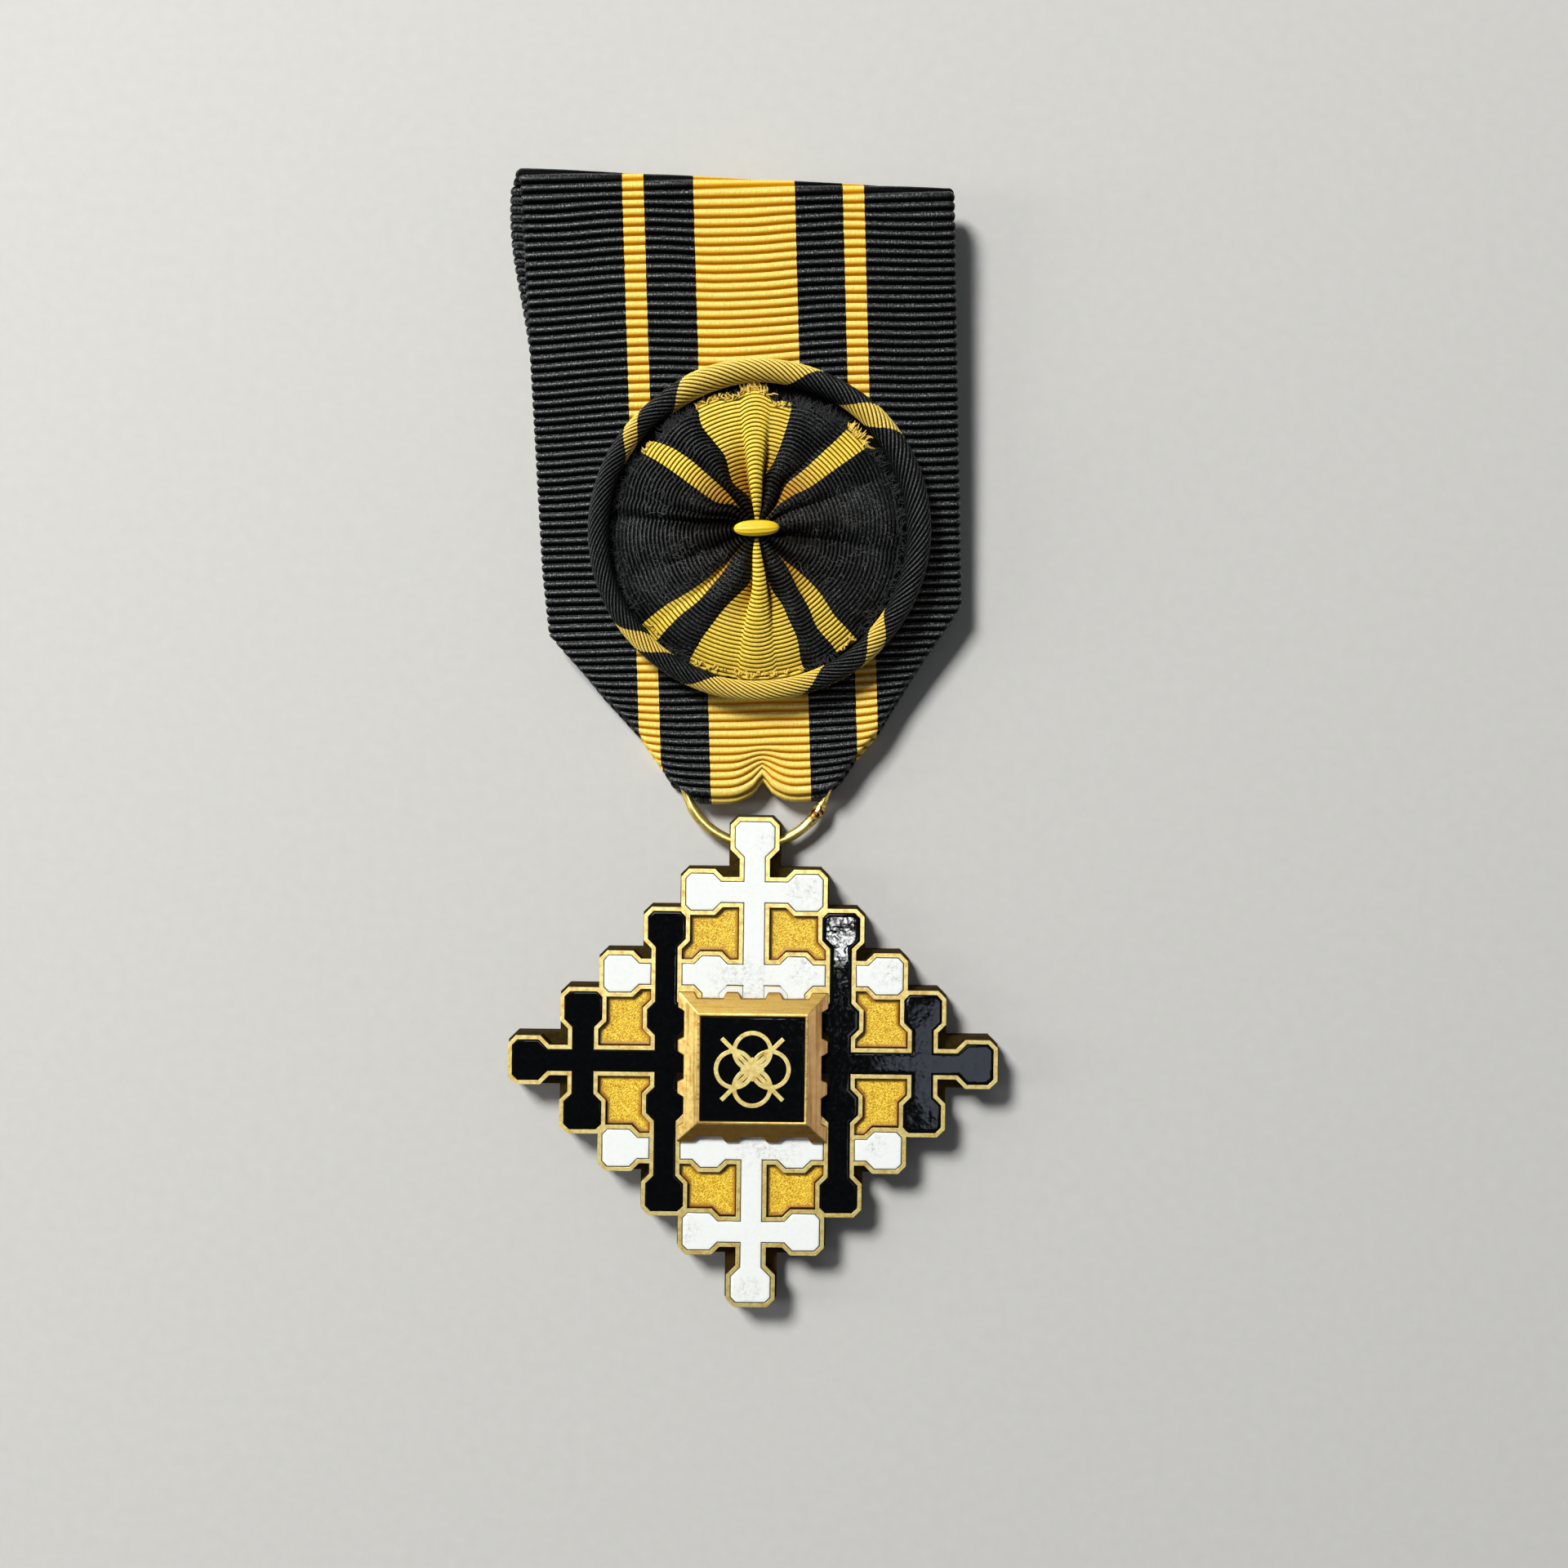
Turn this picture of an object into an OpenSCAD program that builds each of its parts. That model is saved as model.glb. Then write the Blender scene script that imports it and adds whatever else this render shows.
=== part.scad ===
// Officer's cross: an enamelled gilt cross on a ring and a folded ribbon with a rosette.
// It lies face up. The origin is at the middle of the cross's back.
// +Z is up and +Y runs to the ribbon's top.

/* [Cross] */
// Distance from the middle to each tip
arm_reach = 21.75; // [21.5:0.25:23]
// Distance from the middle to the short crossbars
crossbar_place = 15.08; // [14.9:0.05:15.2]
// Half length of the short crossbars
crossbar_half = 6.5; // [6.4:0.05:6.6]
// Distance from the middle to the long bars
long_bar_place = 7.74; // [7.6:0.05:7.9]
// Half length of the long bars
long_bar_half = 13.7; // [13.6:0.05:13.8]
// Thickness of the lower, unknobbed layer of the body
slab_height = 1.7; // [1.6:0.05:1.9]
// How far the lower layer stands out round the upper one
slab_spread = 0.15; // [0.1:0.05:0.2]
// Thickness of the whole body
body_height = 3.2; // [3.1:0.05:3.4]

/* [Bars] */
// Half width of a bar between its knobs
neck_half = 1.34; // [1.3:0.02:1.4]
// Half width of a bar's knobs
knob_half = 2.05; // [2:0.02:2.1]
// Half width of the knobs at the four tips
tip_half = 2.17; // [2.15:0.02:2.25]
// Length of an end knob
knob_length = 3.7; // [3.6:0.05:3.8]
// Bevel at the outer corners of a knob
knob_corner = 0.7; // [0.6:0.05:0.8]
// Distance from the middle of a long bar to its two middle knobs
mid_knob_place = 3.8; // [3.7:0.05:3.9]
// Length of a middle knob
mid_knob_length = 3.3; // [3.2:0.05:3.5]
// Width of the gilt line round each enamel cell
gilt_line = 0.36; // [0.32:0.02:0.4]

/* [Enamel] */
// Depth of the white and black cells
cell_depth = 0.5; // [0.4:0.05:0.6]
// Height of the floor under the amber fields
field_floor = 2.3; // [2.2:0.05:2.5]
// Thickness of the amber enamel
field_enamel = 0.42; // [0.35:0.01:0.5]
// Gap between the enamel and the metal
fit = 0.03; // [0.02:0.01:0.05]

/* [Centre plate] */
// Half width of the plate over its teeth
plate_half = 6.65; // [6.6:0.05:6.75]
// Height of the plate above the face of the cross
plate_rise = 1.4; // [1.3:0.05:1.5]
// Height of the plate's outer wall
plate_wall = 0.35; // [0.3:0.05:0.45]
// Half width of the black square in the plate
window_half = 4.62; // [4.55:0.05:4.7]
// Width of the lip between the bevel and the black square
plate_lip = 0.24; // [0.2:0.02:0.3]
// Depth of the recesses between the teeth
tooth_depth = 0.55; // [0.5:0.05:0.6]
// Distance that the plate sits below the middle of the cross
plate_drop = 0.4; // [0.3:0.05:0.5]

/* [Centre ornament] */
// Radius of the middle of each ring of the quatrefoil
petal_radius = 1.25; // [1.1:0.05:1.4]
// Width of the gilt strokes
stroke = 0.3; // [0.25:0.05:0.35]
// Height of the ornament over the black enamel
ornament_height = 0.12; // [0.1:0.02:0.2]

/* [Suspension ring] */
// Radius of the ring to the middle of its wire
ring_radius = 6.6; // [6.55:0.05:6.65]
// Radius of the wire
wire_radius = 0.4; // [0.35:0.05:0.4]
// Distance from the middle of the cross to the middle of the ring
ring_place = 25.9; // [25.85:0.05:25.95]
// Height of the ring's wire over the surface it lies on
ring_height = 1.45; // [1.4:0.05:1.45]
// Radius of the hole through the top knob
hole_radius = 0.72; // [0.7:0.02:0.76]

/* [Ribbon] */
// Thickness of the ribbon with its ribs
cloth = 1; // [1:0.05:1]
// Distance from the middle of the cross to the ribbon's datum, beside the ring's top
ribbon_place = 31.9; // [31.8:0.05:32]
// Lean of the ribbon to the left, in degrees
ribbon_lean = 2.2; // [1.5:0.1:3]
// Distance from the datum to the top fold
ribbon_top = 46.5; // [45.5:0.25:47.5]
// Drop of the top edge from left to right, per unit of width
top_slant = 0.0726; // [0.06:0.002:0.08]
// Middle height of the front layer over the ring
front_low = 2.5; // [2.5:0.05:2.6]
// Middle height of the front layer at the top fold
front_high = 4.3; // [4.2:0.05:4.5]
// Middle height of the back layer over the pin
back_high = 2.3; // [2.3:0.05:2.35]
// Width of the turned-in edge of the point
hem_width = 2; // [1.8:0.1:2.2]

/* [Rosette] */
// Outer radius of the rosette
rosette_radius = 14.8; // [14.5:0.1:15]
// Radius of the rolled rim
rim_radius = 0.95; // [0.85:0.05:1]
// Place of the rosette along the ribbon, from the datum
rosette_place = 15.1; // [14.8:0.1:15.6]
// Distance of the rosette's middle to the right of the ribbon's middle line
rosette_aside = 0.55; // [0:0.05:1]
// Height of the pleated face at its middle
face_middle = 1.6; // [1.5:0.1:1.8]
// Height of the pleats at their highest
face_crown = 2.9; // [2.6:0.1:3.1]
// Number of pleats
pleats = 12; // [10:1:16]

/* [Brooch pin] */
// Length of the pin's plate
pin_length = 28; // [24:1:30]
// Place of the pin along the ribbon, from the datum
pin_place = 40.5; // [40:0.25:41]

/* [Hidden] */
$fn = 64;

gilt = "goldenrod";
white = "whitesmoke";
black = "#16181a";
amber = "#e0a020";
silk_yellow = "#f0c040";

// The inner side of each arm's enamel runs in under the edge of the plate.
cell_inner = plate_half - tooth_depth - plate_drop - 0.1;
plate_base = body_height + fit;
plate_top = body_height + plate_rise;
window_depth = 0.6;
bevel_run = plate_half - window_half - plate_lip;
bevel_angle = atan((plate_rise - plate_wall) / bevel_run);

// Where the ring's wire runs through the top knob: halfway between its lowest point and where it leaves.
hole_low = ring_place - ring_radius;
hole_high = ring_place - sqrt(pow(ring_radius, 2) - pow(tip_half, 2));
hole_place = (hole_low + hole_high) / 2;

// Edges of the ribbon, as pairs of distance from the datum and distance from the middle line.
left_edge = [
    [-9.2, -3.4],
    [-7.7, -5.1],
    [-7.3, -7.5],
    [-6.1, -8.5],
    [-2.8, -10.75],
    [0.9, -13.95],
    [6.6, -18.3],
    [12, -18.7],
    [46, -19.5]
];
right_edge = [
    [-9.2, 4.6],
    [-7.7, 4.9],
    [-7.3, 7],
    [-5.5, 8.65],
    [-3.3, 10.65],
    [1, 13.4],
    [8.2, 18.3],
    [46, 18.5]
];
front_rows = 26;
back_rows = 16;
fold_rows = 6;
columns = 20;
back_low = cloth / 2;
low_turn = -7.6;
low_bend = (front_low - back_low) / 2;
high_bend = (front_high - back_high) / 2;
high_turn = ribbon_top - high_bend - cloth / 2;
front_slope = atan((front_high - front_low) / (high_turn - 1));

rim_ring = rosette_radius - rim_radius;
card_height = 0.9;
face_radius = rim_ring - rim_radius - 0.1;
rosette_base = front_height(rosette_place) + cloth / 2 + 0.05;

hem_depth = 0.8;

plate_thick = 0.5;
pin_radius = 0.4;

// Bars of the cross, as flat shapes. Each inset moves the whole outline inwards by that much.
// A bar lies along X. Its outline is worked out for the upper right quarter and mirrored to the others.
// A middle knob may run on by some depth, as those of the cells do on their inner side.
function mid_quarter(inset, depth) =
    let (reach = mid_knob_length / 2 - inset * tan(22.5))
    let (first = mid_knob_place - reach, last = mid_knob_place + reach)
    let (rise = knob_half - neck_half, side = knob_half - inset)
        concat(
            [[first, neck_half - inset], [first + rise, side]],
            depth > 0 ? [[first + rise, side + depth], [last - rise, side + depth]] : [],
            [[last - rise, side], [last, neck_half - inset]]
        );
function end_quarter(reach, half, inset) =
    let (first = reach - knob_length + inset * tan(22.5))
    let (end = reach - inset, side = half - inset)
    let (corner = knob_corner - inset * (2 - sqrt(2)))
        [
            [first, neck_half - inset],
            [first + half - neck_half, side],
            [end - corner, side],
            [end, side - corner]
        ];
function turned_over(points, across, up) = [for (point = points) [point[0] * across, point[1] * up]];
function reversed(points) = [for (index = [len(points) - 1:-1:0]) points[index]];

module bar(upper, lower) {
    polygon(concat(
        upper,
        reversed(turned_over(lower, 1, -1)),
        turned_over(lower, -1, -1),
        reversed(turned_over(upper, -1, 1))
    ));
}

// The bars of the arm that points to +Y: a short crossbar, a long bar, and the axial bar of both arms.
module arm(inset, depth = 0) {
    tips = end_quarter(arm_reach, tip_half, inset);
    short_end = end_quarter(crossbar_half, knob_half, inset);
    long_end = end_quarter(long_bar_half, knob_half, inset);
    rotate(90)
        bar(tips, tips);
    translate([0, crossbar_place])
        bar(short_end, short_end);
    translate([0, long_bar_place])
        bar(concat(mid_quarter(inset, 0), long_end), concat(mid_quarter(inset, depth), long_end));
}

module all_arms(inset) {
    for (quarter = [0:3])
        rotate(90 * quarter)
            arm(inset);
}

// A bar of the lower layer: as wide as the knobs all along, with bevelled corners.
module plain_bar(half_length, half) {
    polygon([
        for (corner = [[1, 1], [-1, 1], [-1, -1], [1, -1]])
            for (step = [0, 1])
                let (first = corner[0] * corner[1] > 0 ? step : 1 - step)
                    [corner[0] * (half_length - knob_corner * first),
                     corner[1] * (half - knob_corner * (1 - first))]
    ]);
}

module slab_outline() {
    for (quarter = [0:3])
        rotate(90 * quarter) {
            translate([0, crossbar_place])
                plain_bar(crossbar_half + slab_spread, knob_half + slab_spread);
            translate([0, long_bar_place])
                plain_bar(long_bar_half + slab_spread, knob_half + slab_spread);
        }
    plain_bar(arm_reach + slab_spread, tip_half + slab_spread);
    rotate(90)
        plain_bar(arm_reach + slab_spread, tip_half + slab_spread);
    square(2 * plate_half - 0.5, center = true);
}

// The cell of the arm that points to +Y. Its middle knobs run on under the edge of the plate.
module arm_cell(inset) {
    far = 2 * arm_reach;
    difference() {
        arm(inset, 1);
        translate([-far, -far])
            square([2 * far, far + cell_inner + inset - gilt_line]);
    }
}

// The white arm is cut by the black long bars, which run on over it.
module white_cell(inset) {
    inner_side = long_bar_place - neck_half - inset + gilt_line;
    difference() {
        arm_cell(inset);
        for (side = [0, 1])
            mirror([side, 0])
                translate([inner_side, 0])
                    square([long_bar_half, crossbar_place - knob_half - 0.1]);
    }
}

// The white knob to the upper right, beyond the black long bar.
module white_knob_cell(inset) {
    outer_side = long_bar_place + neck_half + inset - gilt_line;
    far = 2 * arm_reach;
    difference() {
        arm(inset);
        translate([-far, -far])
            square([far + outer_side, 2 * far]);
    }
}

// The amber field to the right of the arm that points to +Y.
module field_area(gap) {
    difference() {
        polygon([
            [0.5, long_bar_place],
            [long_bar_place, long_bar_place],
            [long_bar_place, crossbar_place - 3],
            [crossbar_half - 0.5, crossbar_place - knob_half],
            [crossbar_half - 0.5, crossbar_place],
            [0.5, crossbar_place]
        ]);
        all_arms(-gap);
    }
}

module at_field(index) {
    rotate(90 * floor(index / 2))
        mirror([index % 2, 0])
            children();
}

module at_white_knob(index) {
    rotate(180 * floor(index / 2))
        mirror([index % 2, 0])
            children();
}

module enamel_block(base, height) {
    translate([0, 0, base])
        linear_extrude(height)
            children();
}

module cross_body() {
    color(gilt)
        difference() {
            union() {
                linear_extrude(slab_height)
                    slab_outline();
                linear_extrude(body_height)
                    all_arms(0);
                linear_extrude(body_height)
                    square(2 * plate_half - 0.5, center = true);
                linear_extrude(field_floor)
                    for (index = [0:7])
                        at_field(index)
                            field_area(-0.1);
            }
            enamel_block(body_height - cell_depth, cell_depth + 1) {
                for (half_turn = [0, 180])
                    rotate(half_turn) {
                        white_cell(gilt_line);
                        rotate(90)
                            arm_cell(gilt_line);
                    }
                for (index = [0:3])
                    at_white_knob(index)
                        white_knob_cell(gilt_line);
            }
            translate([0, hole_place, ring_height])
                rotate([0, 90, 0])
                    cylinder(r = hole_radius, h = 3 * tip_half, center = true);
        }
}

module cell_enamel() {
    enamel_block(body_height - cell_depth + fit, cell_depth - fit)
        children();
}

module white_enamel(turn) {
    color(white)
        cell_enamel()
            rotate(turn)
                white_cell(gilt_line + fit);
}

module black_enamel(turn) {
    color(black)
        cell_enamel()
            rotate(turn)
                arm_cell(gilt_line + fit);
}

module white_knob_enamel(index) {
    color(white)
        cell_enamel()
            at_white_knob(index)
                white_knob_cell(gilt_line + fit);
}

module amber_enamel(index) {
    color(amber)
        enamel_block(field_floor + fit, field_enamel)
            at_field(index)
                field_area(fit);
}

// Centre plate: a square with teeth, bevelled up to a lip round the black square.
module plate_recess(place, width) {
    translate([place, plate_half - tooth_depth])
        polygon([
            [-width / 2, 0],
            [width / 2, 0],
            [width / 2 + 0.5, 1],
            [-width / 2 - 0.5, 1]
        ]);
}

module plate_outline() {
    difference() {
        square(2 * plate_half, center = true);
        for (quarter = [0:3])
            rotate(90 * quarter) {
                plate_recess(0, 2.1);
                for (side = [-1, 1])
                    plate_recess(side * mid_knob_place, 2.3);
            }
    }
}

module centre_plate() {
    color(gilt)
        translate([0, -plate_drop, 0])
            difference() {
                translate([0, 0, plate_base])
                    linear_extrude(plate_top - plate_base)
                        plate_outline();
                for (quarter = [0:3])
                    rotate([0, 0, 90 * quarter])
                        translate([0, plate_half, body_height + plate_wall])
                            rotate([-bevel_angle, 0, 0])
                                translate([-10, -6, 0])
                                    cube([20, 12, 6]);
                translate([0, 0, plate_top - window_depth])
                    linear_extrude(2)
                        square(2 * window_half, center = true);
            }
}

module centre_enamel() {
    color(black)
        translate([0, -plate_drop, plate_top - window_depth + fit])
            linear_extrude(window_depth - 0.1)
                square(2 * (window_half - fit), center = true);
}

// A plain interlaced quatrefoil round a lozenge.
module centre_sprig() {
    color(gilt)
        translate([0, -plate_drop, plate_top - 0.1 + 2 * fit])
            linear_extrude(ornament_height) {
                for (quarter = [0:3])
                    rotate(90 * quarter) {
                        translate([petal_radius, 0])
                            difference() {
                                circle(petal_radius + stroke / 2);
                                circle(petal_radius - stroke / 2);
                            }
                        rotate(45)
                            translate([0.5, -stroke / 2])
                                square([2 * petal_radius, stroke]);
                    }
                rotate(45)
                    square(1.2, center = true);
            }
}

module ring() {
    color(gilt)
        translate([0, ring_place, ring_height])
            rotate_extrude()
                translate([ring_radius, 0])
                    circle(wire_radius, $fn = 32);
}

// Ribbon: one closed loop of cloth, worked out row by row.
// Places along it are distances from the datum, and places across it run from 0 to 1.
function smooth(value) = let (part = min(1, max(0, value))) part * part * (3 - 2 * part);
function front_height(along) = front_low + (front_high - front_low) * max(0, along - 1) / (high_turn - 1);
function back_height(along) = back_low + (back_high - back_low) * min(1, max(0, (along - 6) / 28));
function pinch(across) = 1.5 * exp(-pow((across - 0.55) / 0.1, 2));
// The turned-in edges of the point thicken the front layer downwards, beside the ring and above it.
function hem(along, from_edge) =
    let (stretch = smooth((along + 4) / 1.6) - smooth((along - 6) / 3))
        hem_depth * stretch * (1 - smooth((from_edge - hem_width) / 0.8));
function back_bulge(along) = 1.3 * exp(-pow((along - 43) / 4, 2));

// Each row: distance along, middle height, direction of its outer side in degrees, and 1 for a back row.
function front_row(index) =
    let (along = low_turn + (high_turn - low_turn) * index / front_rows)
        [along, front_height(along), 90, 0];
function back_row(index) =
    let (along = high_turn + (low_turn - high_turn) * index / back_rows)
        [along, back_height(along), -90, 1];
function high_row(index) =
    let (turn = 90 - 180 * index / fold_rows)
        [high_turn + high_bend * cos(turn), (front_high + back_high) / 2 + high_bend * sin(turn), turn,
         index / fold_rows];
function low_row(index) =
    let (turn = -90 - 180 * index / fold_rows)
        [low_turn + low_bend * cos(turn), (front_low + back_low) / 2 + low_bend * sin(turn), turn,
         1 - index / fold_rows];
ribbon_rows = concat(
    [for (index = [0:front_rows]) front_row(index)],
    [for (index = [1:fold_rows - 1]) high_row(index)],
    [for (index = [0:back_rows]) back_row(index)],
    [for (index = [1:fold_rows - 1]) low_row(index)]
);
function row_left(row) = lookup(row[0], left_edge) - row[3] * back_bulge(row[0]);
function row_right(row) = lookup(row[0], right_edge);
function ribbon_point(row, across, outer) =
    let (left = row_left(row), right = row_right(row))
    let (place = left + (right - left) * across)
    let (edge = min(across, 1 - across) * (right - left))
    let (fold = row[2] == 90 ? hem(row[0], edge) : 0)
    let (shift = outer ? cloth / 2 : -cloth / 2 - fold)
    let (slant = -top_slant * place * smooth((row[0] - 26) / 16))
    let (tuck = pinch(across) * (1 - smooth((row[0] - low_turn) / 5)))
        [place, row[0] + slant + tuck + shift * cos(row[2]), row[1] + shift * sin(row[2])];
function ribbon_ring(row) = concat(
    [for (index = [0:columns]) ribbon_point(row, index / columns, true)],
    [for (index = [0:columns]) ribbon_point(row, 1 - index / columns, false)]
);

module ribbon_frame() {
    translate([0.08, ribbon_place, 0])
        rotate([0, 0, ribbon_lean])
            children();
}

module ribbon() {
    count = 2 * columns + 2;
    rows = len(ribbon_rows);
    points = [for (row = ribbon_rows) each ribbon_ring(row)];
    faces = [
        for (row = [0:rows - 1])
            for (index = [0:count - 1])
                let (here = row * count, next = ((row + 1) % rows) * count, other = (index + 1) % count)
                    each [
                        [here + index, next + index, next + other],
                        [here + index, next + other, here + other]
                    ]
    ];
    color(black)
        ribbon_frame()
            polyhedron(points, faces);
}

module on_ribbon() {
    ribbon_frame()
        translate([rosette_aside, rosette_place, rosette_base])
            rotate([front_slope, 0, 0])
                children();
}

// Rosette face: rings of points from the middle out over the pleats, down to the card and under it.
face_turns = 72;
function crown(share) = face_middle + (face_crown - face_middle) * sin(180 * pow(share, 0.8)) + 0.1 * share;
function pleat_height(share, turn) =
    crown(share) + 0.3 * sin(180 * share) * cos(pleats * turn);
face_rings = concat(
    [for (step = [1:8]) [face_radius * step / 8, step / 8]],
    [[face_radius, -1], [rosette_radius - 0.6, -1], [rosette_radius - 0.6, -2]]
);
function face_height(ring_at, turn) =
    ring_at[1] == -1 ? card_height : ring_at[1] == -2 ? 0 : pleat_height(ring_at[1], turn);

module rosette_face() {
    rings = len(face_rings);
    points = concat(
        [for (ring_at = face_rings)
            for (step = [0:face_turns - 1])
                let (turn = 360 * step / face_turns)
                    [ring_at[0] * cos(turn), ring_at[0] * sin(turn), face_height(ring_at, turn)]],
        [[0, 0, face_middle], [0, 0, 0]]
    );
    middle = rings * face_turns;
    faces = concat(
        [for (step = [0:face_turns - 1])
            [middle, (step + 1) % face_turns, step]],
        [for (ring_at = [0:rings - 2])
            for (step = [0:face_turns - 1])
                let (here = ring_at * face_turns, next = here + face_turns, other = (step + 1) % face_turns)
                    each [
                        [here + step, here + other, next + other],
                        [here + step, next + other, next + step]
                    ]],
        [for (step = [0:face_turns - 1])
            [middle + 1, middle - face_turns + step, middle - face_turns + (step + 1) % face_turns]]
    );
    color(silk_yellow)
        on_ribbon()
            polyhedron(points, faces);
}

module rosette_rim() {
    color(black)
        on_ribbon()
            translate([0, 0, card_height + rim_radius + 0.05])
                rotate_extrude()
                    translate([rim_ring, 0])
                        circle(rim_radius, $fn = 32);
}

// A short fat bar of thread with round ends.
module rosette_knot() {
    half = 1.25;
    radius = 0.6;
    color(silk_yellow)
        on_ribbon()
            translate([0, 0, face_middle + radius + 0.75]) {
                rotate([0, 90, 0])
                    cylinder(r = radius, h = 2 * half, center = true);
                for (side = [-1, 1])
                    translate([side * half, 0, 0])
                        sphere(radius);
            }
}

// Brooch pin behind the ribbon's top: a sewn-on plate, two posts and the pin between them, in one piece.
module brooch_pin() {
    top = back_high - cloth / 2 - 0.05;
    color(gilt)
        ribbon_frame()
            translate([0, pin_place, 0]) {
                translate([-pin_length / 2, -1.4, top - plate_thick])
                    cube([pin_length, 2.8, plate_thick]);
                for (side = [-1, 1])
                    translate([side * (pin_length / 2 - 1) - 0.8, -0.8, 0])
                        cube([1.6, 1.6, top - 0.1]);
                translate([0, 0, pin_radius])
                    rotate([0, 90, 0])
                        cylinder(r = pin_radius, h = pin_length - 2, center = true);
            }
}

cross_body();
white_enamel(0);  // white_enamel_top
white_enamel(180);  // white_enamel_bottom
black_enamel(90);  // black_enamel_left
black_enamel(-90);  // black_enamel_right
for (index = [0:3]) {
    white_knob_enamel(index);
}
for (index = [0:7]) {
    amber_enamel(index);
}
centre_plate();
centre_enamel();
centre_sprig();
ring();
ribbon();
rosette_face();
rosette_rim();
rosette_knot();
brooch_pin();
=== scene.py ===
# %% [markdown]
# # An officer's cross on a folded ribbon
#
# The real thing is a struck and gilded cross with enamel in its cells. It hangs by a wire ring from a ribbed
# silk ribbon, and a rosette of the same ribbon is sewn on the front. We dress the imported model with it,
# piece by piece, in the model's own frame: metres, +Z up from the surface that it lies on, +Y to the top of
# the ribbon.

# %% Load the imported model
import math
import random
import bmesh
import bpy
import numpy as np
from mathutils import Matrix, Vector


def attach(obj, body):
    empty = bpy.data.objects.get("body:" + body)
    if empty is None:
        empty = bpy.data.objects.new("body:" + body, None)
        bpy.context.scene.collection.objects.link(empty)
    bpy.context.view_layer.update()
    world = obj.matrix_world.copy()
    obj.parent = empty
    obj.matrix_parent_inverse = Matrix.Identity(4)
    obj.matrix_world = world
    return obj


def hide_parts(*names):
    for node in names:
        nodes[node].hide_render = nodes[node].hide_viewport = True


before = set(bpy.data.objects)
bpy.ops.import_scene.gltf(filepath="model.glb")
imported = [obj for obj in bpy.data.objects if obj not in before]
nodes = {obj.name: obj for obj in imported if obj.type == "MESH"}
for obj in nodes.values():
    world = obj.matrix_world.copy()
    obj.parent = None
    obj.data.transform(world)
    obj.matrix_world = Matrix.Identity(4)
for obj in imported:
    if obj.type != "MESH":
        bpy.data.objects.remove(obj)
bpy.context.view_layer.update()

# %% [markdown]
# ## Camera
#
# The photograph looks straight down from close by, and a short distance shows the walls of the cross that
# face the picture's middle. We found the place and the focal length by matching outlines to the photograph.

# %% Camera
MM = 0.001
CAMERA_PLACE, CAMERA_ROLL, FOCAL_LENGTH = (2.51, 24.73, 154), 0.63, 39.0
camera = bpy.data.objects.new("camera", bpy.data.cameras.new("camera"))
bpy.context.collection.objects.link(camera)
camera.location = [value * MM for value in CAMERA_PLACE]
camera.rotation_euler = (0, 0, math.radians(CAMERA_ROLL))
camera.data.lens = FOCAL_LENGTH
camera.data.sensor_width = 36.0
camera.data.clip_start = 0.01
bpy.context.scene.camera = camera
bpy.context.scene.view_settings.view_transform = "Standard"
print("camera", tuple(round(value, 4) for value in camera.location))

# %% [markdown]
# ## Light
#
# There are six soft lamps. The big one at the upper left gives each cord of the silk its lit side, and a
# weak one at the lower left fills the shade. A faint panel and a small spot hang overhead on the right,
# where the right black arm mirrors them. The last two, one high and one low on the right, add gloss alone.
# The world is a pale dome, dark straight above, as it is under a camera, so the left black arm stays black.

# %% Lights
def linear(hex_text):
    parts = [int(hex_text[start:start + 2], 16) / 255 for start in (1, 3, 5)]
    curve = [part / 12.92 if part <= 0.04045 else ((part + 0.055) / 1.055) ** 2.4 for part in parts]
    return (*curve, 1.0)


def soft_lamp(name, place, target, size, watts, tint, gloss_only=False):
    lamp = bpy.data.lights.new(name, "AREA")
    lamp.shape = "RECTANGLE"
    lamp.size, lamp.size_y = size
    lamp.energy = watts
    lamp.color = linear(tint)[:3]
    holder = bpy.data.objects.new(name, lamp)
    holder.location = place
    holder.rotation_euler = (Vector(target) - Vector(place)).to_track_quat("-Z", "Y").to_euler()
    holder.visible_diffuse = not gloss_only
    bpy.context.collection.objects.link(holder)


MEDAL = (0, 0.025, 0)
soft_lamp("upper_left_lamp", (-0.434, 0.55, 0.728), MEDAL, (0.252, 0.252), 12.6, "#FFFEFA")
soft_lamp("high_lamp", (-0.03, 0.155, 0.60), MEDAL, (0.22, 0.14), 1.15, "#FFFFFC", gloss_only=True)
soft_lamp("low_right_lamp", (0.50, 0.02, 0.24), MEDAL, (0.12, 0.30), 0.45, "#FFF6EC", gloss_only=True)
soft_lamp("low_left_lamp", (-0.50, 0.02, 0.19), MEDAL, (0.12, 0.30), 0.8, "#FFFDF8")
soft_lamp("right_panel", (0.100, -0.095, 0.60), (0.02, 0.0, 0), (0.085, 0.075), 0.029, "#DCE8FF")
soft_lamp("ceiling_spot", (0.0277, -0.043, 0.60), (0.0077, 0.011, 0), (0.012, 0.016), 0.016, "#FFFFFF")


# %% Dome
def connect(node, links):
    # A node that is given stands for the first of its outputs in use, and a hex text for its colour.
    for socket, value in links.items():
        if isinstance(value, bpy.types.Node):
            value = next(output for output in value.outputs if output.enabled)
        if isinstance(value, bpy.types.NodeSocket):
            node.id_data.links.new(value, node.inputs[socket])
        else:
            node.inputs[socket].default_value = linear(value) if isinstance(value, str) else value


def add(tree, kind, links=None, stops=(), **settings):
    node = tree.nodes.new("ShaderNode" + kind)
    for name, value in settings.items():
        setattr(node, name, value)
    for number, (position, tint) in enumerate(stops):
        marks = node.color_ramp.elements
        mark = marks[number] if number < len(marks) else marks.new(position)
        mark.position = position
        mark.color = linear(tint)
    connect(node, links or {})
    return node


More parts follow.
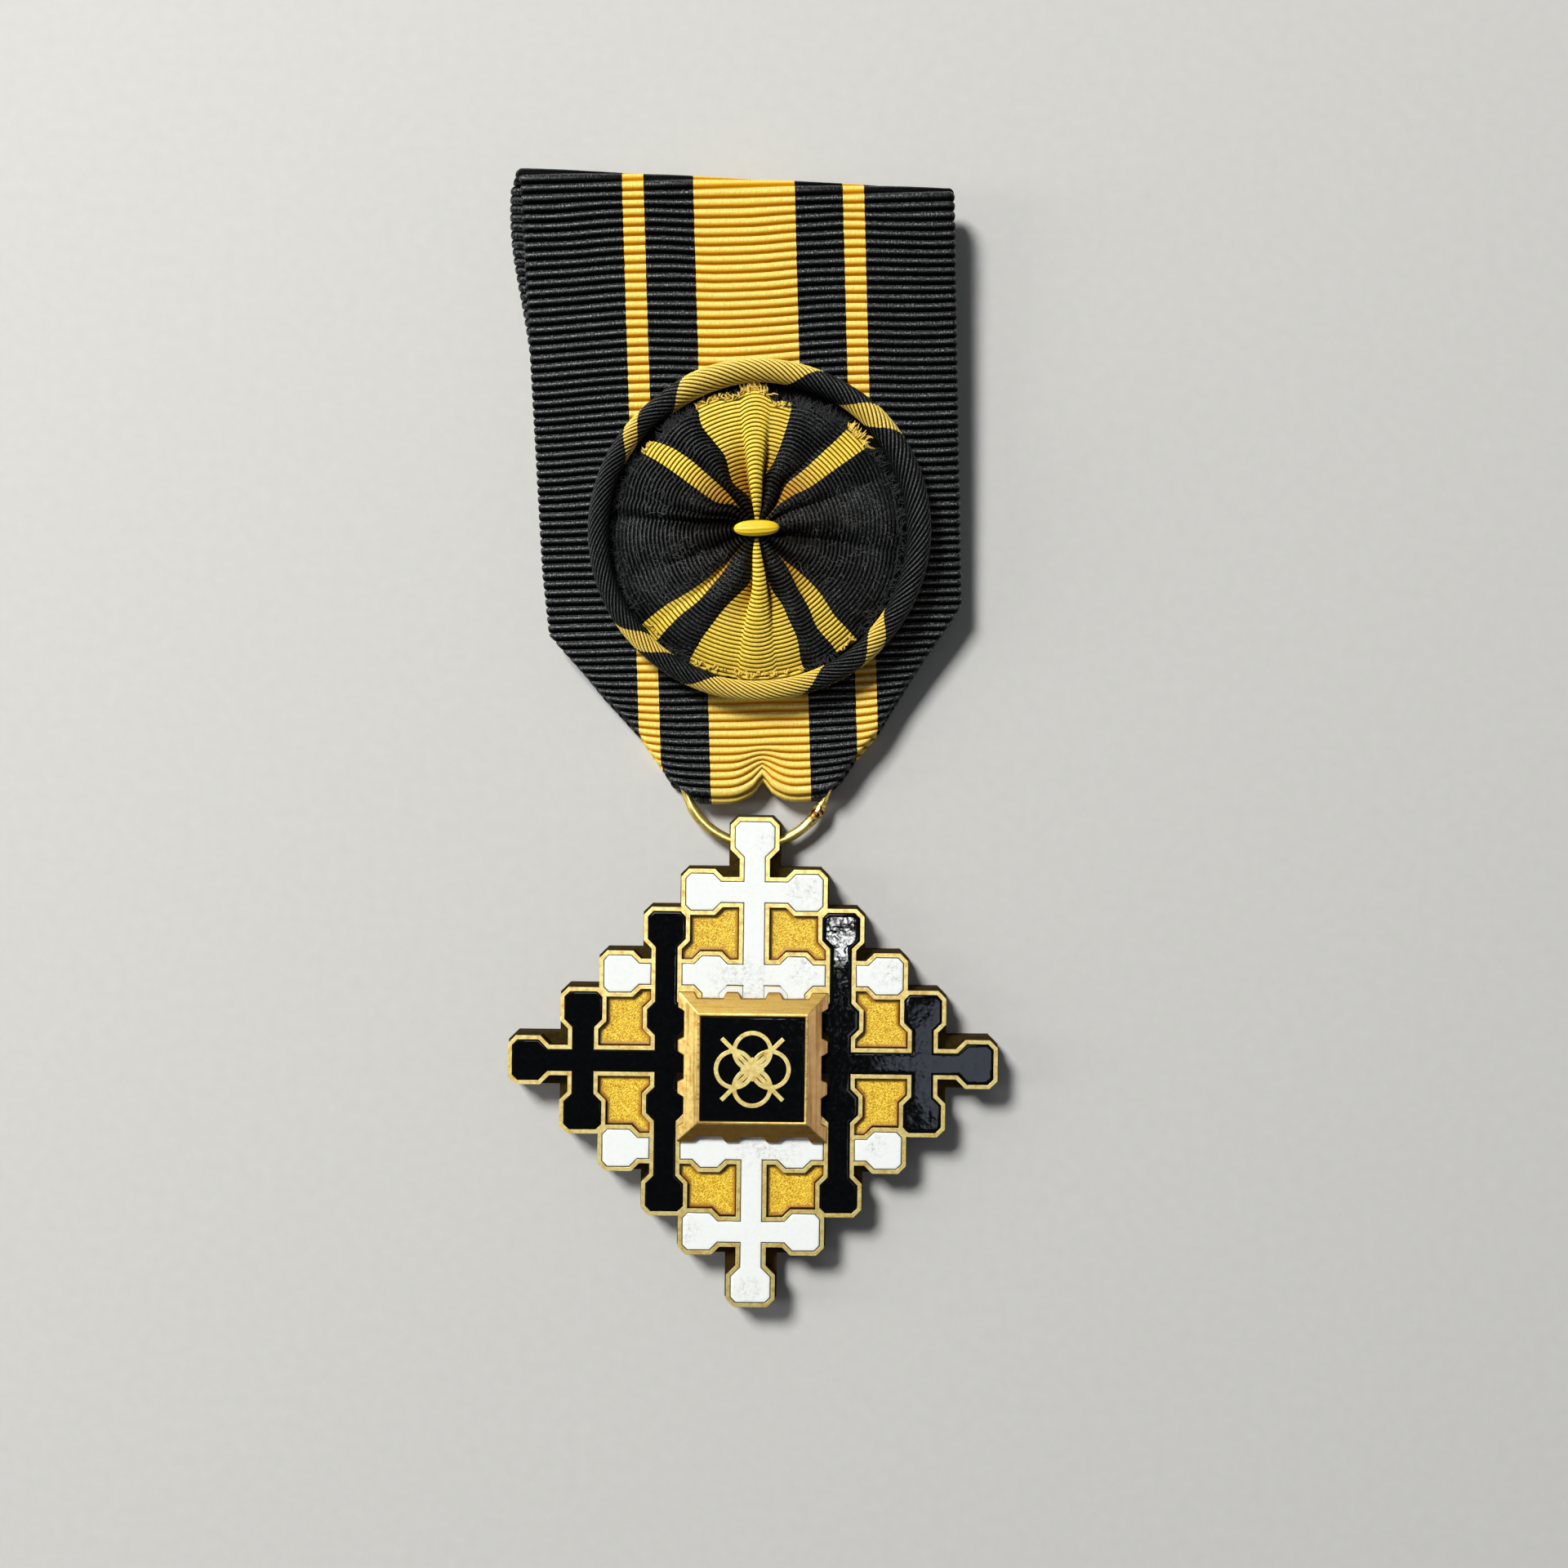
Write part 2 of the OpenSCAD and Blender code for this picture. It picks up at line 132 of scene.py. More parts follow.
world = bpy.data.worlds.new("pale dome")
world.use_nodes = True
bpy.context.scene.world = world
sky = world.node_tree
direction = add(sky, "TexCoord").outputs["Generated"]
height = add(sky, "SeparateXYZ", {0: direction}).outputs["Z"]
shade = add(sky, "ValToRGB", {"Fac": height}, stops=[(0.30, "#E9EBEE"), (0.96, "#1C1D20")])
connect(sky.nodes["Background"], {"Color": shade, "Strength": 0.24})
print("world", world.name)

# %% [markdown]
# ## Floor
#
# The photograph's ground is dark. Here the medal lies on a plain pale board, which shows the outline of the
# dark silk clearly. A faint noise keeps it from being one flat tone.


# %% Floor
def parts_of(finish):
    return finish.node_tree, finish.node_tree.nodes["Principled BSDF"]


def finish_of(name, **uniform):
    finish = bpy.data.materials.new(name)
    finish.use_nodes = True
    tree, shader = parts_of(finish)
    connect(shader, {socket.replace("_", " "): value for socket, value in uniform.items()})
    return finish, tree, shader


def feeding(shader, socket):
    return shader.inputs[socket].links[0].from_socket


board, tree, shader = finish_of("pale matt board", Roughness=0.85)
place = add(tree, "TexCoord").outputs["Object"]
grain = add(tree, "TexNoise", {"Vector": place, "Scale": 900.0, "Detail": 4.0})
tint = add(tree, "ValToRGB", {"Fac": grain}, stops=[(0, "#C3C3C1"), (1, "#CBCBC9")])
connect(shader, {"Base Color": tint})
# The board ends about where its light has faded to the dome's grey, so no dark band shows behind the medal.
FLOOR_RADIUS, FLOOR_DROP = 1.1, 0.02 * MM
bpy.ops.mesh.primitive_circle_add(
    vertices=128, radius=FLOOR_RADIUS, fill_type="NGON", location=(0, 0, -FLOOR_DROP)
)
floor = bpy.context.object
floor.name = "floor"
floor.data.materials.append(board)
print("floor radius", FLOOR_RADIUS, "m")

# %% [markdown]
# ## Gilded brass
#
# We take the body for struck tombac, a brass rich in copper, with a thin gilding. Gold has a warm mirror
# colour and no paint colour, so the shader is a metal. Handling dulls it: the flat lines are scratched and
# soft. A brown tone lies in the low places and on the walls: partly tarnish, where no cloth wipes it, and
# partly painted shade, which keeps the walls dark as if in shadow. Painting this on would need an unwrapped
# mesh, so noise in the object's own space and the height of each point draw it.


# %% Spots
def near_spot(tree, place, spot, radius):
    target = tuple(value * MM for value in spot)
    away = add(tree, "VectorMath", {0: place, 1: target}, operation="DISTANCE")
    return add(tree, "MapRange", {"Value": away, "From Min": radius * MM, "From Max": radius * 0.3 * MM})


# %% Gilt finish
def gilt_finish(name, lit, toned, patina_and_shade, rough, patina_and_shade_below):
    finish, tree, shader = finish_of(name)
    place = add(tree, "TexCoord").outputs["Object"]
    # Wear comes in patches of about 0.7 mm.
    wear = add(tree, "TexNoise", {"Vector": place, "Scale": 1500.0, "Detail": 5.0, "Roughness": 0.65})
    blotch = add(tree, "MapRange", {"Value": wear, "From Min": 0.42, "From Max": 0.66})
    face = add(tree, "Mix", {0: blotch, 6: lit, 7: toned}, data_type="RGBA")
    geometry = add(tree, "NewGeometry")
    upright = add(tree, "SeparateXYZ", {0: geometry.outputs["Normal"]}).outputs["Z"]
    # Steep sides and low places take the brown tone: partly tarnish, partly painted shade.
    patina_and_shade_on_walls = add(tree, "MapRange", {"Value": upright, "From Min": 0.75, "From Max": 0.1})
    level = add(tree, "SeparateXYZ", {0: place}).outputs["Z"]
    below, well_below = patina_and_shade_below * MM, (patina_and_shade_below - 0.3) * MM
    low = add(tree, "MapRange", {"Value": level, "From Min": below, "From Max": well_below})
    dull = add(tree, "Math", {0: patina_and_shade_on_walls, 1: low}, operation="MAXIMUM")
    patchy = add(
        tree, "MapRange", {"Value": wear, "From Min": 0.3, "From Max": 0.7, "To Min": 1, "To Max": 0.96}
    )
    amount = add(tree, "Math", {0: dull, 1: patchy}, operation="MULTIPLY")
    colour = add(tree, "Mix", {0: amount, 6: face, 7: patina_and_shade}, data_type="RGBA")
    matt = add(tree, "MapRange", {"Value": wear, "To Min": rough - 0.08, "To Max": rough + 0.16})
    crust = add(tree, "Math", {0: amount, 1: 0.62}, operation="MULTIPLY")
    matt = add(tree, "Math", {0: matt, 1: crust}, operation="MAXIMUM")
    bare = add(tree, "MapRange", {"Value": amount, "To Min": 1.0, "To Max": 0.45})
    # Seen nearly edge-on, a bare side would mirror the pale floor. Where the brown tone lies, its reflection
    # is tinted dark: partly oxide, partly painted shade.
    wall_reflection_painted_dark = add(tree, "Mix", {0: amount, 6: "#8A6C3A", 7: "#120C05"}, data_type="RGBA")
    sheen = add(tree, "MapRange", {"Value": amount, "To Min": 0.5, "To Max": 0.08})
    # The scratches are taken as finer than 0.05 mm, and drawn 0.12 mm wide so that they show.
    scratch = add(tree, "TexNoise", {"Vector": place, "Scale": 8000.0, "Detail": 2.0, "Distortion": 0.6})
    bump = add(tree, "Bump", {"Height": scratch, "Strength": 0.22, "Distance": 0.03 * MM})
    connect(shader, {
        "Base Color": colour, "Roughness": matt, "Metallic": bare, "Specular Tint": wall_reflection_painted_dark,
        "Specular IOR Level": sheen, "Normal": bump,
    })
    return finish


# Lit tone, worn tone, brown tone of tarnish and painted shade, roughness, and the height in mm under which
# it lies.
struck_gilt = gilt_finish("gilded tombac, struck and worn", "#FAEA9E", "#D8B264", "#2C1E0A", 0.42, 2.1)
cast_gilt = gilt_finish("gilded tombac, filed bevels", "#E9CF82", "#CBA055", "#7A5620", 0.42, 3.3)
wire_gilt = gilt_finish("gilded wire, drawn", "#FFEE96", "#D9B55C", "#C49A44", 0.33, 0.2)
print("gilt finishes", [finish.name for finish in (struck_gilt, cast_gilt, wire_gilt)])

# %% [markdown]
# In the photograph the enamel reaches right up to the plate's middle tabs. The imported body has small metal
# lands there that show past the tabs, so they take the enamel's colour: white above and below, black at the
# sides. The four corner lands stay metal. The numbers below are in mm, from the plate's middle.

# %% Enamelled lands
def between(tree, value, low, high):
    above = add(tree, "Math", {0: value, 1: low * MM}, operation="GREATER_THAN")
    below = add(tree, "Math", {0: value, 1: high * MM}, operation="LESS_THAN")
    return add(tree, "Math", {0: above, 1: below}, operation="MULTIPLY")


LAND_HALF_WIDTH, LAND_START, LAND_END, LAND_FLOOR, PLATE_SHIFT = 3.9, 5.4, 7.1, 2.2, 0.4


def tab_lands(tree):
    # Two masks: the lands above and below the plate, then those at its sides.
    place = add(tree, "SeparateXYZ", {0: add(tree, "TexCoord").outputs["Object"]}).outputs
    raised = add(tree, "Math", {0: place["Z"], 1: LAND_FLOOR * MM}, operation="GREATER_THAN")
    from_plate = add(tree, "Math", {0: place["Y"], 1: PLATE_SHIFT * MM}, operation="ADD")
    across = add(tree, "Math", {0: place["X"]}, operation="ABSOLUTE")
    along = add(tree, "Math", {0: from_plate}, operation="ABSOLUTE")
    masks = []
    for near, far in ((across, along), (along, across)):
        aside = between(tree, near, -1.0, LAND_HALF_WIDTH)
        inside = add(
            tree, "Math", {0: aside, 1: between(tree, far, LAND_START, LAND_END)}, operation="MULTIPLY"
        )
        masks.append(add(tree, "Math", {0: inside, 1: raised}, operation="MULTIPLY"))
    return masks


tree, shader = parts_of(struck_gilt)
for land, glass in zip(tab_lands(tree), ("#E9ECEA", "#060708")):
    plain = {0: land, 6: feeding(shader, "Base Color"), 7: glass}
    covered = add(tree, "Mix", plain, data_type="RGBA")
    no_metal = add(
        tree, "Math", {0: feeding(shader, "Metallic"), 1: land}, operation="SUBTRACT", use_clamp=True
    )
    connect(shader, {"Base Color": covered, "Metallic": no_metal})
print("nodes in the struck gilt", len(tree.nodes))

# %% [markdown]
# The marks on the plate in the middle look like a file's, drawn along each bevel. They are far too fine to
# model, so noise stretched along the bevels draws them. Each bevel's tone is painted by the way it faces:
# the upper and left ones show bright, the right one is painted copper-pink and the lower one brownest, as
# shade.
# The upper one mirrors the main lamp, so its painted tone is darker than it looks.

# %% Filed bevels
tree, shader = parts_of(cast_gilt)
place = add(tree, "TexCoord").outputs["Object"]
facing = add(tree, "SeparateXYZ", {0: add(tree, "NewGeometry").outputs["Normal"]}).outputs
rows = add(tree, "Mapping", {"Vector": place, "Scale": (150, 3200, 400)})
columns = add(tree, "Mapping", {"Vector": place, "Scale": (3200, 150, 400)})
row_marks = add(tree, "TexNoise", {"Vector": rows, "Scale": 1.0, "Detail": 4.0})
column_marks = add(tree, "TexNoise", {"Vector": columns, "Scale": 1.0, "Detail": 4.0})
sideways = add(tree, "Math", {0: facing["X"]}, operation="ABSOLUTE")
upright_edge = add(tree, "Math", {0: sideways, 1: 0.3}, operation="GREATER_THAN")
marks = add(tree, "Mix", {0: upright_edge, 2: row_marks, 3: column_marks})
colour = feeding(shader, "Base Color")
# Painted shade by the way each bevel faces: axis, side, share and tone.
BEVEL_PAINTED_SHADES = [("X", 1, 0.85, "#C79E74"), ("Y", -1, 0.85, "#8C6229"), ("Y", 1, 0.88, "#A28341")]
for axis, side, share, tone in BEVEL_PAINTED_SHADES:
    slope = {"Value": facing[axis], "From Min": 0.15 * side, "From Max": 0.55 * side, "To Max": share}
    turned = add(tree, "MapRange", slope)
    colour = add(tree, "Mix", {0: turned, 6: colour, 7: tone}, data_type="RGBA")
groove = add(tree, "MapRange", {"Value": marks, "From Min": 0.5, "From Max": 0.68, "To Max": 0.7})
colour = add(tree, "Mix", {0: groove, 6: colour, 7: "#8A6630"}, data_type="RGBA")
connect(shader, {"Base Color": colour})
scratched = feeding(shader, "Normal")
filed = add(tree, "Bump", {"Height": marks, "Strength": 0.5, "Distance": 0.04 * MM, "Normal": scratched})
connect(shader, {"Normal": filed})
print("nodes in the filed gilt", len(tree.nodes))

# %% [markdown]
# ## Body of the cross
#
# A struck piece has no knife edges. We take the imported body, weld its triangles back into whole flat faces
# and round each edge by 0.06 mm, which catches the light along the gilt lines. The plate's get 0.09 mm.


# %% Struck body
def whole_faces(node):
    work = bmesh.new()
    work.from_mesh(nodes[node].data)
    bmesh.ops.remove_doubles(work, verts=work.verts, dist=0.001 * MM)
    bmesh.ops.dissolve_limit(work, angle_limit=math.radians(1), verts=work.verts, edges=work.edges)
    work.normal_update()
    return work


def new_piece(work, name, finish, slot, *stands_for):
    for face in work.faces:
        face.smooth = True
    mesh = bpy.data.meshes.new(name)
    work.to_mesh(mesh)
    work.free()
    return set_up(mesh, name, finish, slot, *stands_for)


def set_up(mesh, name, finish, slot, *stands_for):
    mesh.materials.append(finish)
    piece = bpy.data.objects.new(name, mesh)
    bpy.context.collection.objects.link(piece)
    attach(piece, "root")
    if stands_for:
        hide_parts(*stands_for)
    return piece


def even_light(piece):
    piece.modifiers.new("even light", "WEIGHTED_NORMAL").keep_sharp = True


def rounded(node, name, finish, slot, width, segments):
    # Edges that turn by more than 25 degrees are rounded, by a width in mm.
    work = whole_faces(node)
    sharp = [edge for edge in work.edges if edge.is_manifold and edge.calc_face_angle() > math.radians(25)]
    bmesh.ops.bevel(
        work, geom=sharp, offset=width * MM, offset_type="OFFSET", segments=segments, profile=0.5,
        affect="EDGES", clamp_overlap=True, loop_slide=True,
    )
    piece = new_piece(work, name, finish, slot, node)
    even_light(piece)
    return piece


body = rounded("cross_body", "struck_body", struck_gilt, "gilt", width=0.06, segments=3)
plate = rounded("centre_plate", "filed_plate", cast_gilt, "gilt", width=0.09, segments=3)
print("body faces", len(body.data.polygons), "plate faces", len(plate.data.polygons))

# %% [markdown]
# ## Hard enamel
#
# Enamel is powdered glass, fused in the cells and stoned flat. It meets the metal at a fine dark line, and
# its surface falls away a little there. Each piece gets rings of faces that step in from its edge: each step
# has a run and a rise in mm. A value named edge fades from 1 at the metal to 0, and the finishes read it.


# %% Domed pieces
def domed(node, name, finish, slot, drop, steps):
    work = whole_faces(node)
    top = max((face for face in work.faces if face.normal.z > 0.9), key=lambda face: face.calc_area())
    edge = work.verts.layers.float.new("edge")
    for vertex in top.verts:
        vertex.co.z -= drop * MM
        vertex[edge] = 1.0
    for run, rise, value in steps:
        bmesh.ops.inset_region(work, faces=[top], thickness=run * MM, depth=0.0, use_even_offset=True)
        for vertex in top.verts:
            vertex.co.z += rise * MM
            vertex[edge] = value
    piece = new_piece(work, name, finish, slot, node)
    even_light(piece)
    return piece


# %% White enamel
def edge_of(tree):
    return add(tree, "Attribute", attribute_name="edge").outputs["Fac"]


# Where the surface looks open and stained: x, y and radius in mm.
STAINS = [
    (-1.2, 7.0, 3.4), (4.4, 8.2, 2.2), (4.5, 15.5, 2.3), (1.1, 19.6, 1.2), (12.2, 8.1, 2.1),
    (11.0, -7.4, 1.4), (1.5, -7.0, 4.0), (-0.2, -20.2, 1.7), (-5.4, -15.2, 1.3)
]
white, tree, shader = finish_of("white hard enamel, stoned", Roughness=0.2, IOR=1.52)
place = add(tree, "TexCoord").outputs["Object"]
ENAMEL_LEVEL = 3.2
open_part = 0.12
for x, y, radius in STAINS:
    near = near_spot(tree, place, (x, y, ENAMEL_LEVEL), radius)
    open_part = add(tree, "Math", {0: open_part, 1: near}, operation="MAXIMUM")
stain = add(tree, "TexNoise", {"Vector": place, "Scale": 2400.0, "Detail": 7.0, "Roughness": 0.8})
grime = add(tree, "MapRange", {"Value": stain, "From Min": 0.50, "From Max": 0.66, "To Max": 0.75})
soiled = add(tree, "Math", {0: grime, 1: open_part}, operation="MULTIPLY")
clean = add(tree, "Mix", {0: soiled, 6: "#F3F7F6", 7: "#B0A9A0"}, data_type="RGBA")
# Hair-fine crazing, only where the surface is open.
craze = add(tree, "TexVoronoi", {"Vector": place, "Scale": 2100.0}, feature="DISTANCE_TO_EDGE")
hair = add(tree, "MapRange", {"Value": craze, "From Min": 0.05, "From Max": 0.0, "To Max": 0.22})
cracks = add(tree, "Math", {0: hair, 1: open_part}, operation="MULTIPLY")
cracked = add(tree, "Mix", {0: cracks, 6: clean, 7: "#7E7F7A"}, data_type="RGBA")
seam = add(tree, "MapRange", {"Value": edge_of(tree), "From Min": 0.35, "From Max": 0.8})
# No seam is drawn round a land that takes the white.
seam = add(tree, "Math", {0: seam, 1: tab_lands(tree)[0]}, operation="SUBTRACT", use_clamp=True)
colour = add(tree, "Mix", {0: seam, 6: cracked, 7: "#3B3322"}, data_type="RGBA")
connect(shader, {"Base Color": colour})
wave = add(tree, "TexNoise", {"Vector": place, "Scale": 500.0, "Detail": 2.0})
bump = add(tree, "Bump", {"Height": wave, "Strength": 0.2, "Distance": 0.06 * MM})
connect(shader, {"Normal": bump})
print("nodes in the white enamel", len(tree.nodes))

# %% Black enamel
black, tree, shader = finish_of("black hard enamel, stoned", IOR=1.52)
place = add(tree, "TexCoord").outputs["Object"]
pits = add(tree, "TexNoise", {"Vector": place, "Scale": 2600.0, "Detail": 3.0})
bloom = add(tree, "Mix", {0: pits, 6: "#050607", 7: "#0C0D0F"}, data_type="RGBA")
seam = add(tree, "MapRange", {"Value": edge_of(tree), "From Min": 0.35, "From Max": 0.8})
colour = add(tree, "Mix", {0: seam, 6: bloom, 7: "#1A140A"}, data_type="RGBA")
connect(shader, {"Base Color": colour})
dull = add(
    tree, "MapRange", {"Value": pits, "From Min": 0.45, "From Max": 0.7, "To Min": 0.04, "To Max": 0.13}
)
connect(shader, {"Roughness": dull})
wave = add(tree, "TexNoise", {"Vector": place, "Scale": 420.0, "Detail": 3.0, "Roughness": 0.55})
swell = add(tree, "Bump", {"Height": wave, "Strength": 0.26, "Distance": 0.10 * MM})
fine = add(tree, "Bump", {"Height": pits, "Strength": 0.05, "Distance": 0.02 * MM, "Normal": swell})
connect(shader, {"Normal": fine})
kept = add(tree, "MapRange", {"Value": edge_of(tree), "From Max": 0.3, "To Min": 0.5, "To Max": 0.02})
connect(shader, {"Specular IOR Level": kept})
print("nodes in the black enamel", len(tree.nodes))

# %% White and black pieces
FALL = [(0.05, 0.045, 0.6), (0.05, 0.02, 0.32), (0.10, 0.006, 0.0), (0.18, 0.004, 0.0)]
for side in ("top", "bottom"):
    domed(f"white_enamel_{side}", f"white_arm_{side}", white, "white_enamel", 0.09, FALL)
for side in ("left", "right"):
    domed(f"black_enamel_{side}", f"black_arm_{side}", black, "black_enamel", 0.09, FALL)
for number in range(1, 5):
    domed(f"white_knob_enamel_{number}", f"white_knob_{number}", white, "white_enamel", 0.09, FALL)
domed("centre_enamel", "centre_field", black, "black_enamel", 0.06, FALL[:2] + [(0.12, 0.0, 0.0)])

# %% [markdown]
# ## Amber enamel
#
# The eight fields look like clear amber glass over hatched metal. The glass creeps up the walls, so it is
# deepest and brownest there, and the cut strokes of the ground glitter through it. Real cuts would be
# thousands of small faces, so the strokes are drawn as streaks of noise, about 0.2 mm long and 0.09 mm wide.

# %% Amber finish
amber, tree, shader = finish_of("amber enamel over a hatched ground", IOR=1.52, Specular_IOR_Level=0.35)
STROKE_SLANT, STROKE_LONG, STROKE_WIDE = math.radians(42), 0.21 * MM, 0.085 * MM
place = add(tree, "TexCoord").outputs["Object"]
hatching = {"Vector": place, "Rotation": (0, 0, STROKE_SLANT), "Scale": (STROKE_LONG, STROKE_WIDE, 1)}
turned = add(tree, "Mapping", hatching, vector_type="TEXTURE")
strokes = add(tree, "TexNoise", {"Vector": turned, "Scale": 1.0, "Detail": 2.0})
# The glass is not equally deep over a field, so its tone drifts over about half a millimetre.
drift = add(tree, "TexNoise", {"Vector": place, "Scale": 1900.0, "Detail": 2.0})
drift = add(
    tree, "MapRange", {"Value": drift, "From Min": 0.3, "From Max": 0.7, "To Min": -0.05, "To Max": 0.05}
)
toned = add(tree, "Math", {0: strokes, 1: drift}, operation="ADD")
cut = add(tree, "ValToRGB", {"Fac": toned}, stops=[(0.38, "#B4830F"), (0.5, "#EAB820"), (0.59, "#FFE75C")])
depth = edge_of(tree)
colour = add(tree, "Mix", {0: depth, 6: cut, 7: "#96580A"}, data_type="RGBA")
connect(shader, {"Base Color": colour})
glow = add(tree, "MapRange", {"Value": strokes, "To Min": 0.5, "To Max": 0.3})
connect(shader, {"Roughness": glow})
bump = add(tree, "Bump", {"Height": strokes, "Strength": 0.4, "Distance": 0.04 * MM})
connect(shader, {"Normal": bump})
print("nodes in the amber enamel", len(tree.nodes))

# %% Amber pieces
AMBER_FIELDS = 8
CREEP = [(0.14, -0.07, 0.85), (0.14, -0.03, 0.45), (0.15, -0.01, 0.0)]
for number in range(1, AMBER_FIELDS + 1):
    domed(f"amber_enamel_{number}", f"amber_field_{number}", amber, "amber_enamel", -0.1, CREEP)
print("amber fields", AMBER_FIELDS)

# %% [markdown]
# ## Ornament
#
# A plain quatrefoil round a lozenge stands in the black square: four gilt loops of the body's metal. The
# packed one is narrower than its place, so this one is spread sideways from the plate's middle.

# %% Centre ornament
ornament = rounded("centre_sprig", "gilt_quatrefoil", struck_gilt, "gilt", width=0.03, segments=2)
PLATE_MIDDLE, SPREAD = Vector((0, -PLATE_SHIFT * MM, 0)), 1.28
for vertex in ornament.data.vertices:
    outward = vertex.co - PLATE_MIDDLE
    vertex.co = PLATE_MIDDLE + Vector((outward.x * SPREAD, outward.y * SPREAD, outward.z))
print("ornament", tuple(round(value / MM, 2) for value in ornament.dimensions))


# %% [markdown]
# ## Surfaces from grids
#
# Ring, ribbon and rosette are all grids of points that bend round something. One helper turns such a grid
# into a mesh and keeps a flat map of it, in millimetres or rib numbers, for the finishes to read.


# %% Grid helper
def skin(name, points, flat_map, finish, slot, *stands_for, round_rows=False, round_columns=False):
    rows, columns = points.shape[:2]
    row, column = np.mgrid[0:rows - (not round_rows), 0:columns - (not round_columns)]
    steps = [(0, 0), (0, 1), (1, 1), (1, 0)]
    corners = [((row + down) % rows) * columns + (column + right) % columns for down, right in steps]
    faces = np.stack(corners, -1).reshape(-1, 4)
    mesh = bpy.data.meshes.new(name)
    mesh.from_pydata((points.reshape(-1, 3) * MM).tolist(), [], faces.tolist())
    spots = np.stack([flat_map[row + down, column + right] for down, right in steps], -2)
    mesh.uv_layers.new(name="flat").data.foreach_set("uv", spots.reshape(-1).astype(np.float32))
    mesh.polygons.foreach_set("use_smooth", [True] * len(faces))
    return set_up(mesh, name, finish, slot, *stands_for)


def smooth(value):
    part = np.clip(value, 0, 1)
    return part * part * (3 - 2 * part)


def ripple(first, second, size, seed):
    rng = np.random.default_rng(seed)
    total = 0
    for _ in range(5):
        angle, shift = rng.uniform(0, 2 * math.pi, 2)
        pace = rng.uniform(0.6, 1.4) * 2 * math.pi / size
        total = total + np.sin((first * math.cos(angle) + second * math.sin(angle)) * pace + shift)
    return total / 5


# %% [markdown]
# ## Suspension ring
#
# A drawn wire, bent round and closed at the lower right, where a lumpy brown place looks like solder. It is
# drawn 0.08 mm fatter in radius where it shows, below the ribbon. A torus is the usual start, but it is the
# same all round; a grid of points can swell. The wire still cuts a little into the ribbon's lower right
# corner, by the solder.

# %% Ring's shape
# All in mm: the wire's middle line, its half thickness, and where the ring's middle lies.
RING_RADIUS, WIRE_RADIUS, RING_MIDDLE, RING_LEVEL = 6.6, 0.4, 25.9, 1.45
SOLDER_AT, SOLDER_REACH = math.radians(-33), 2.0
once_round = 2 * math.pi
turn, round_wire = np.meshgrid(
    np.linspace(0, once_round, 181), np.linspace(0, once_round, 21), indexing="ij"
)
lump = np.exp(-((turn - once_round - SOLDER_AT) / 0.14) ** 2)
shown = smooth((-0.42 - np.sin(turn)) / 0.12)
thick = WIRE_RADIUS - 0.01 + 0.08 * shown + 0.015 * ripple(turn * 6, round_wire, 1.6, 3)
thick = thick + lump * (0.07 + 0.07 * ripple(turn * 40, round_wire * 3, 2.0, 4))
out = RING_RADIUS + 0.04 * shown + thick * np.cos(round_wire)
solder_spot = (
    RING_RADIUS * math.cos(SOLDER_AT), RING_MIDDLE + RING_RADIUS * math.sin(SOLDER_AT), RING_LEVEL
)
print("wire's thickness, in mm", round(2 * float(thick.min()), 2), "to", round(2 * float(thick.max()), 2))

# %% Solder's colour
tree, shader = parts_of(wire_gilt)
place = add(tree, "TexCoord").outputs["Object"]
crust = add(tree, "TexNoise", {"Vector": place, "Scale": 3500.0, "Detail": 3.0})
crusted = add(tree, "MapRange", {"Value": crust, "From Min": 0.42, "From Max": 0.55})
near = near_spot(tree, place, solder_spot, SOLDER_REACH)
amount = add(tree, "Math", {0: near, 1: crusted}, operation="MULTIPLY")
plain = feeding(shader, "Base Color")
burnt = add(tree, "Mix", {0: amount, 6: plain, 7: "#5C3113"}, data_type="RGBA")
connect(shader, {"Base Color": burnt})
print("nodes in the wire's gilt", len(tree.nodes))

# %% Ring
points = np.stack(
    [out * np.cos(turn), RING_MIDDLE + out * np.sin(turn), RING_LEVEL + thick * np.sin(round_wire)], -1
)[:-1, :-1]
ring_map = np.stack([turn, round_wire], -1)
ring = skin("wire_ring", points, ring_map, wire_gilt, "gilt", "ring", round_rows=True, round_columns=True)
print("ring faces", len(ring.data.polygons))

# %% [markdown]
# ## Ribbed silk
#
# The ribbon looks like grosgrain: fine silk warp over thick cords, 0.78 mm apart. The warp covers each cord
# with short bright threads. Each cord's crown is painted lighter as its lit side, the dip between two cords
# is painted darker as shade, and grey glints are painted on black crowns. The stripes are in the warp, so
# they run straight along the ribbon. The finish reads the flat map: across in millimetres, along in cords.
# Each stripe is given by its colour and the place across the ribbon where it starts.


# %% Silk finish
STRIPES = [("black", -30.0), ("yellow", -10.75), ("black", -8.75), ("yellow", -4.45), ("black", 4.42),
           ("yellow", 8.62), ("black", 10.55)]
SILK_REACH = 20.0


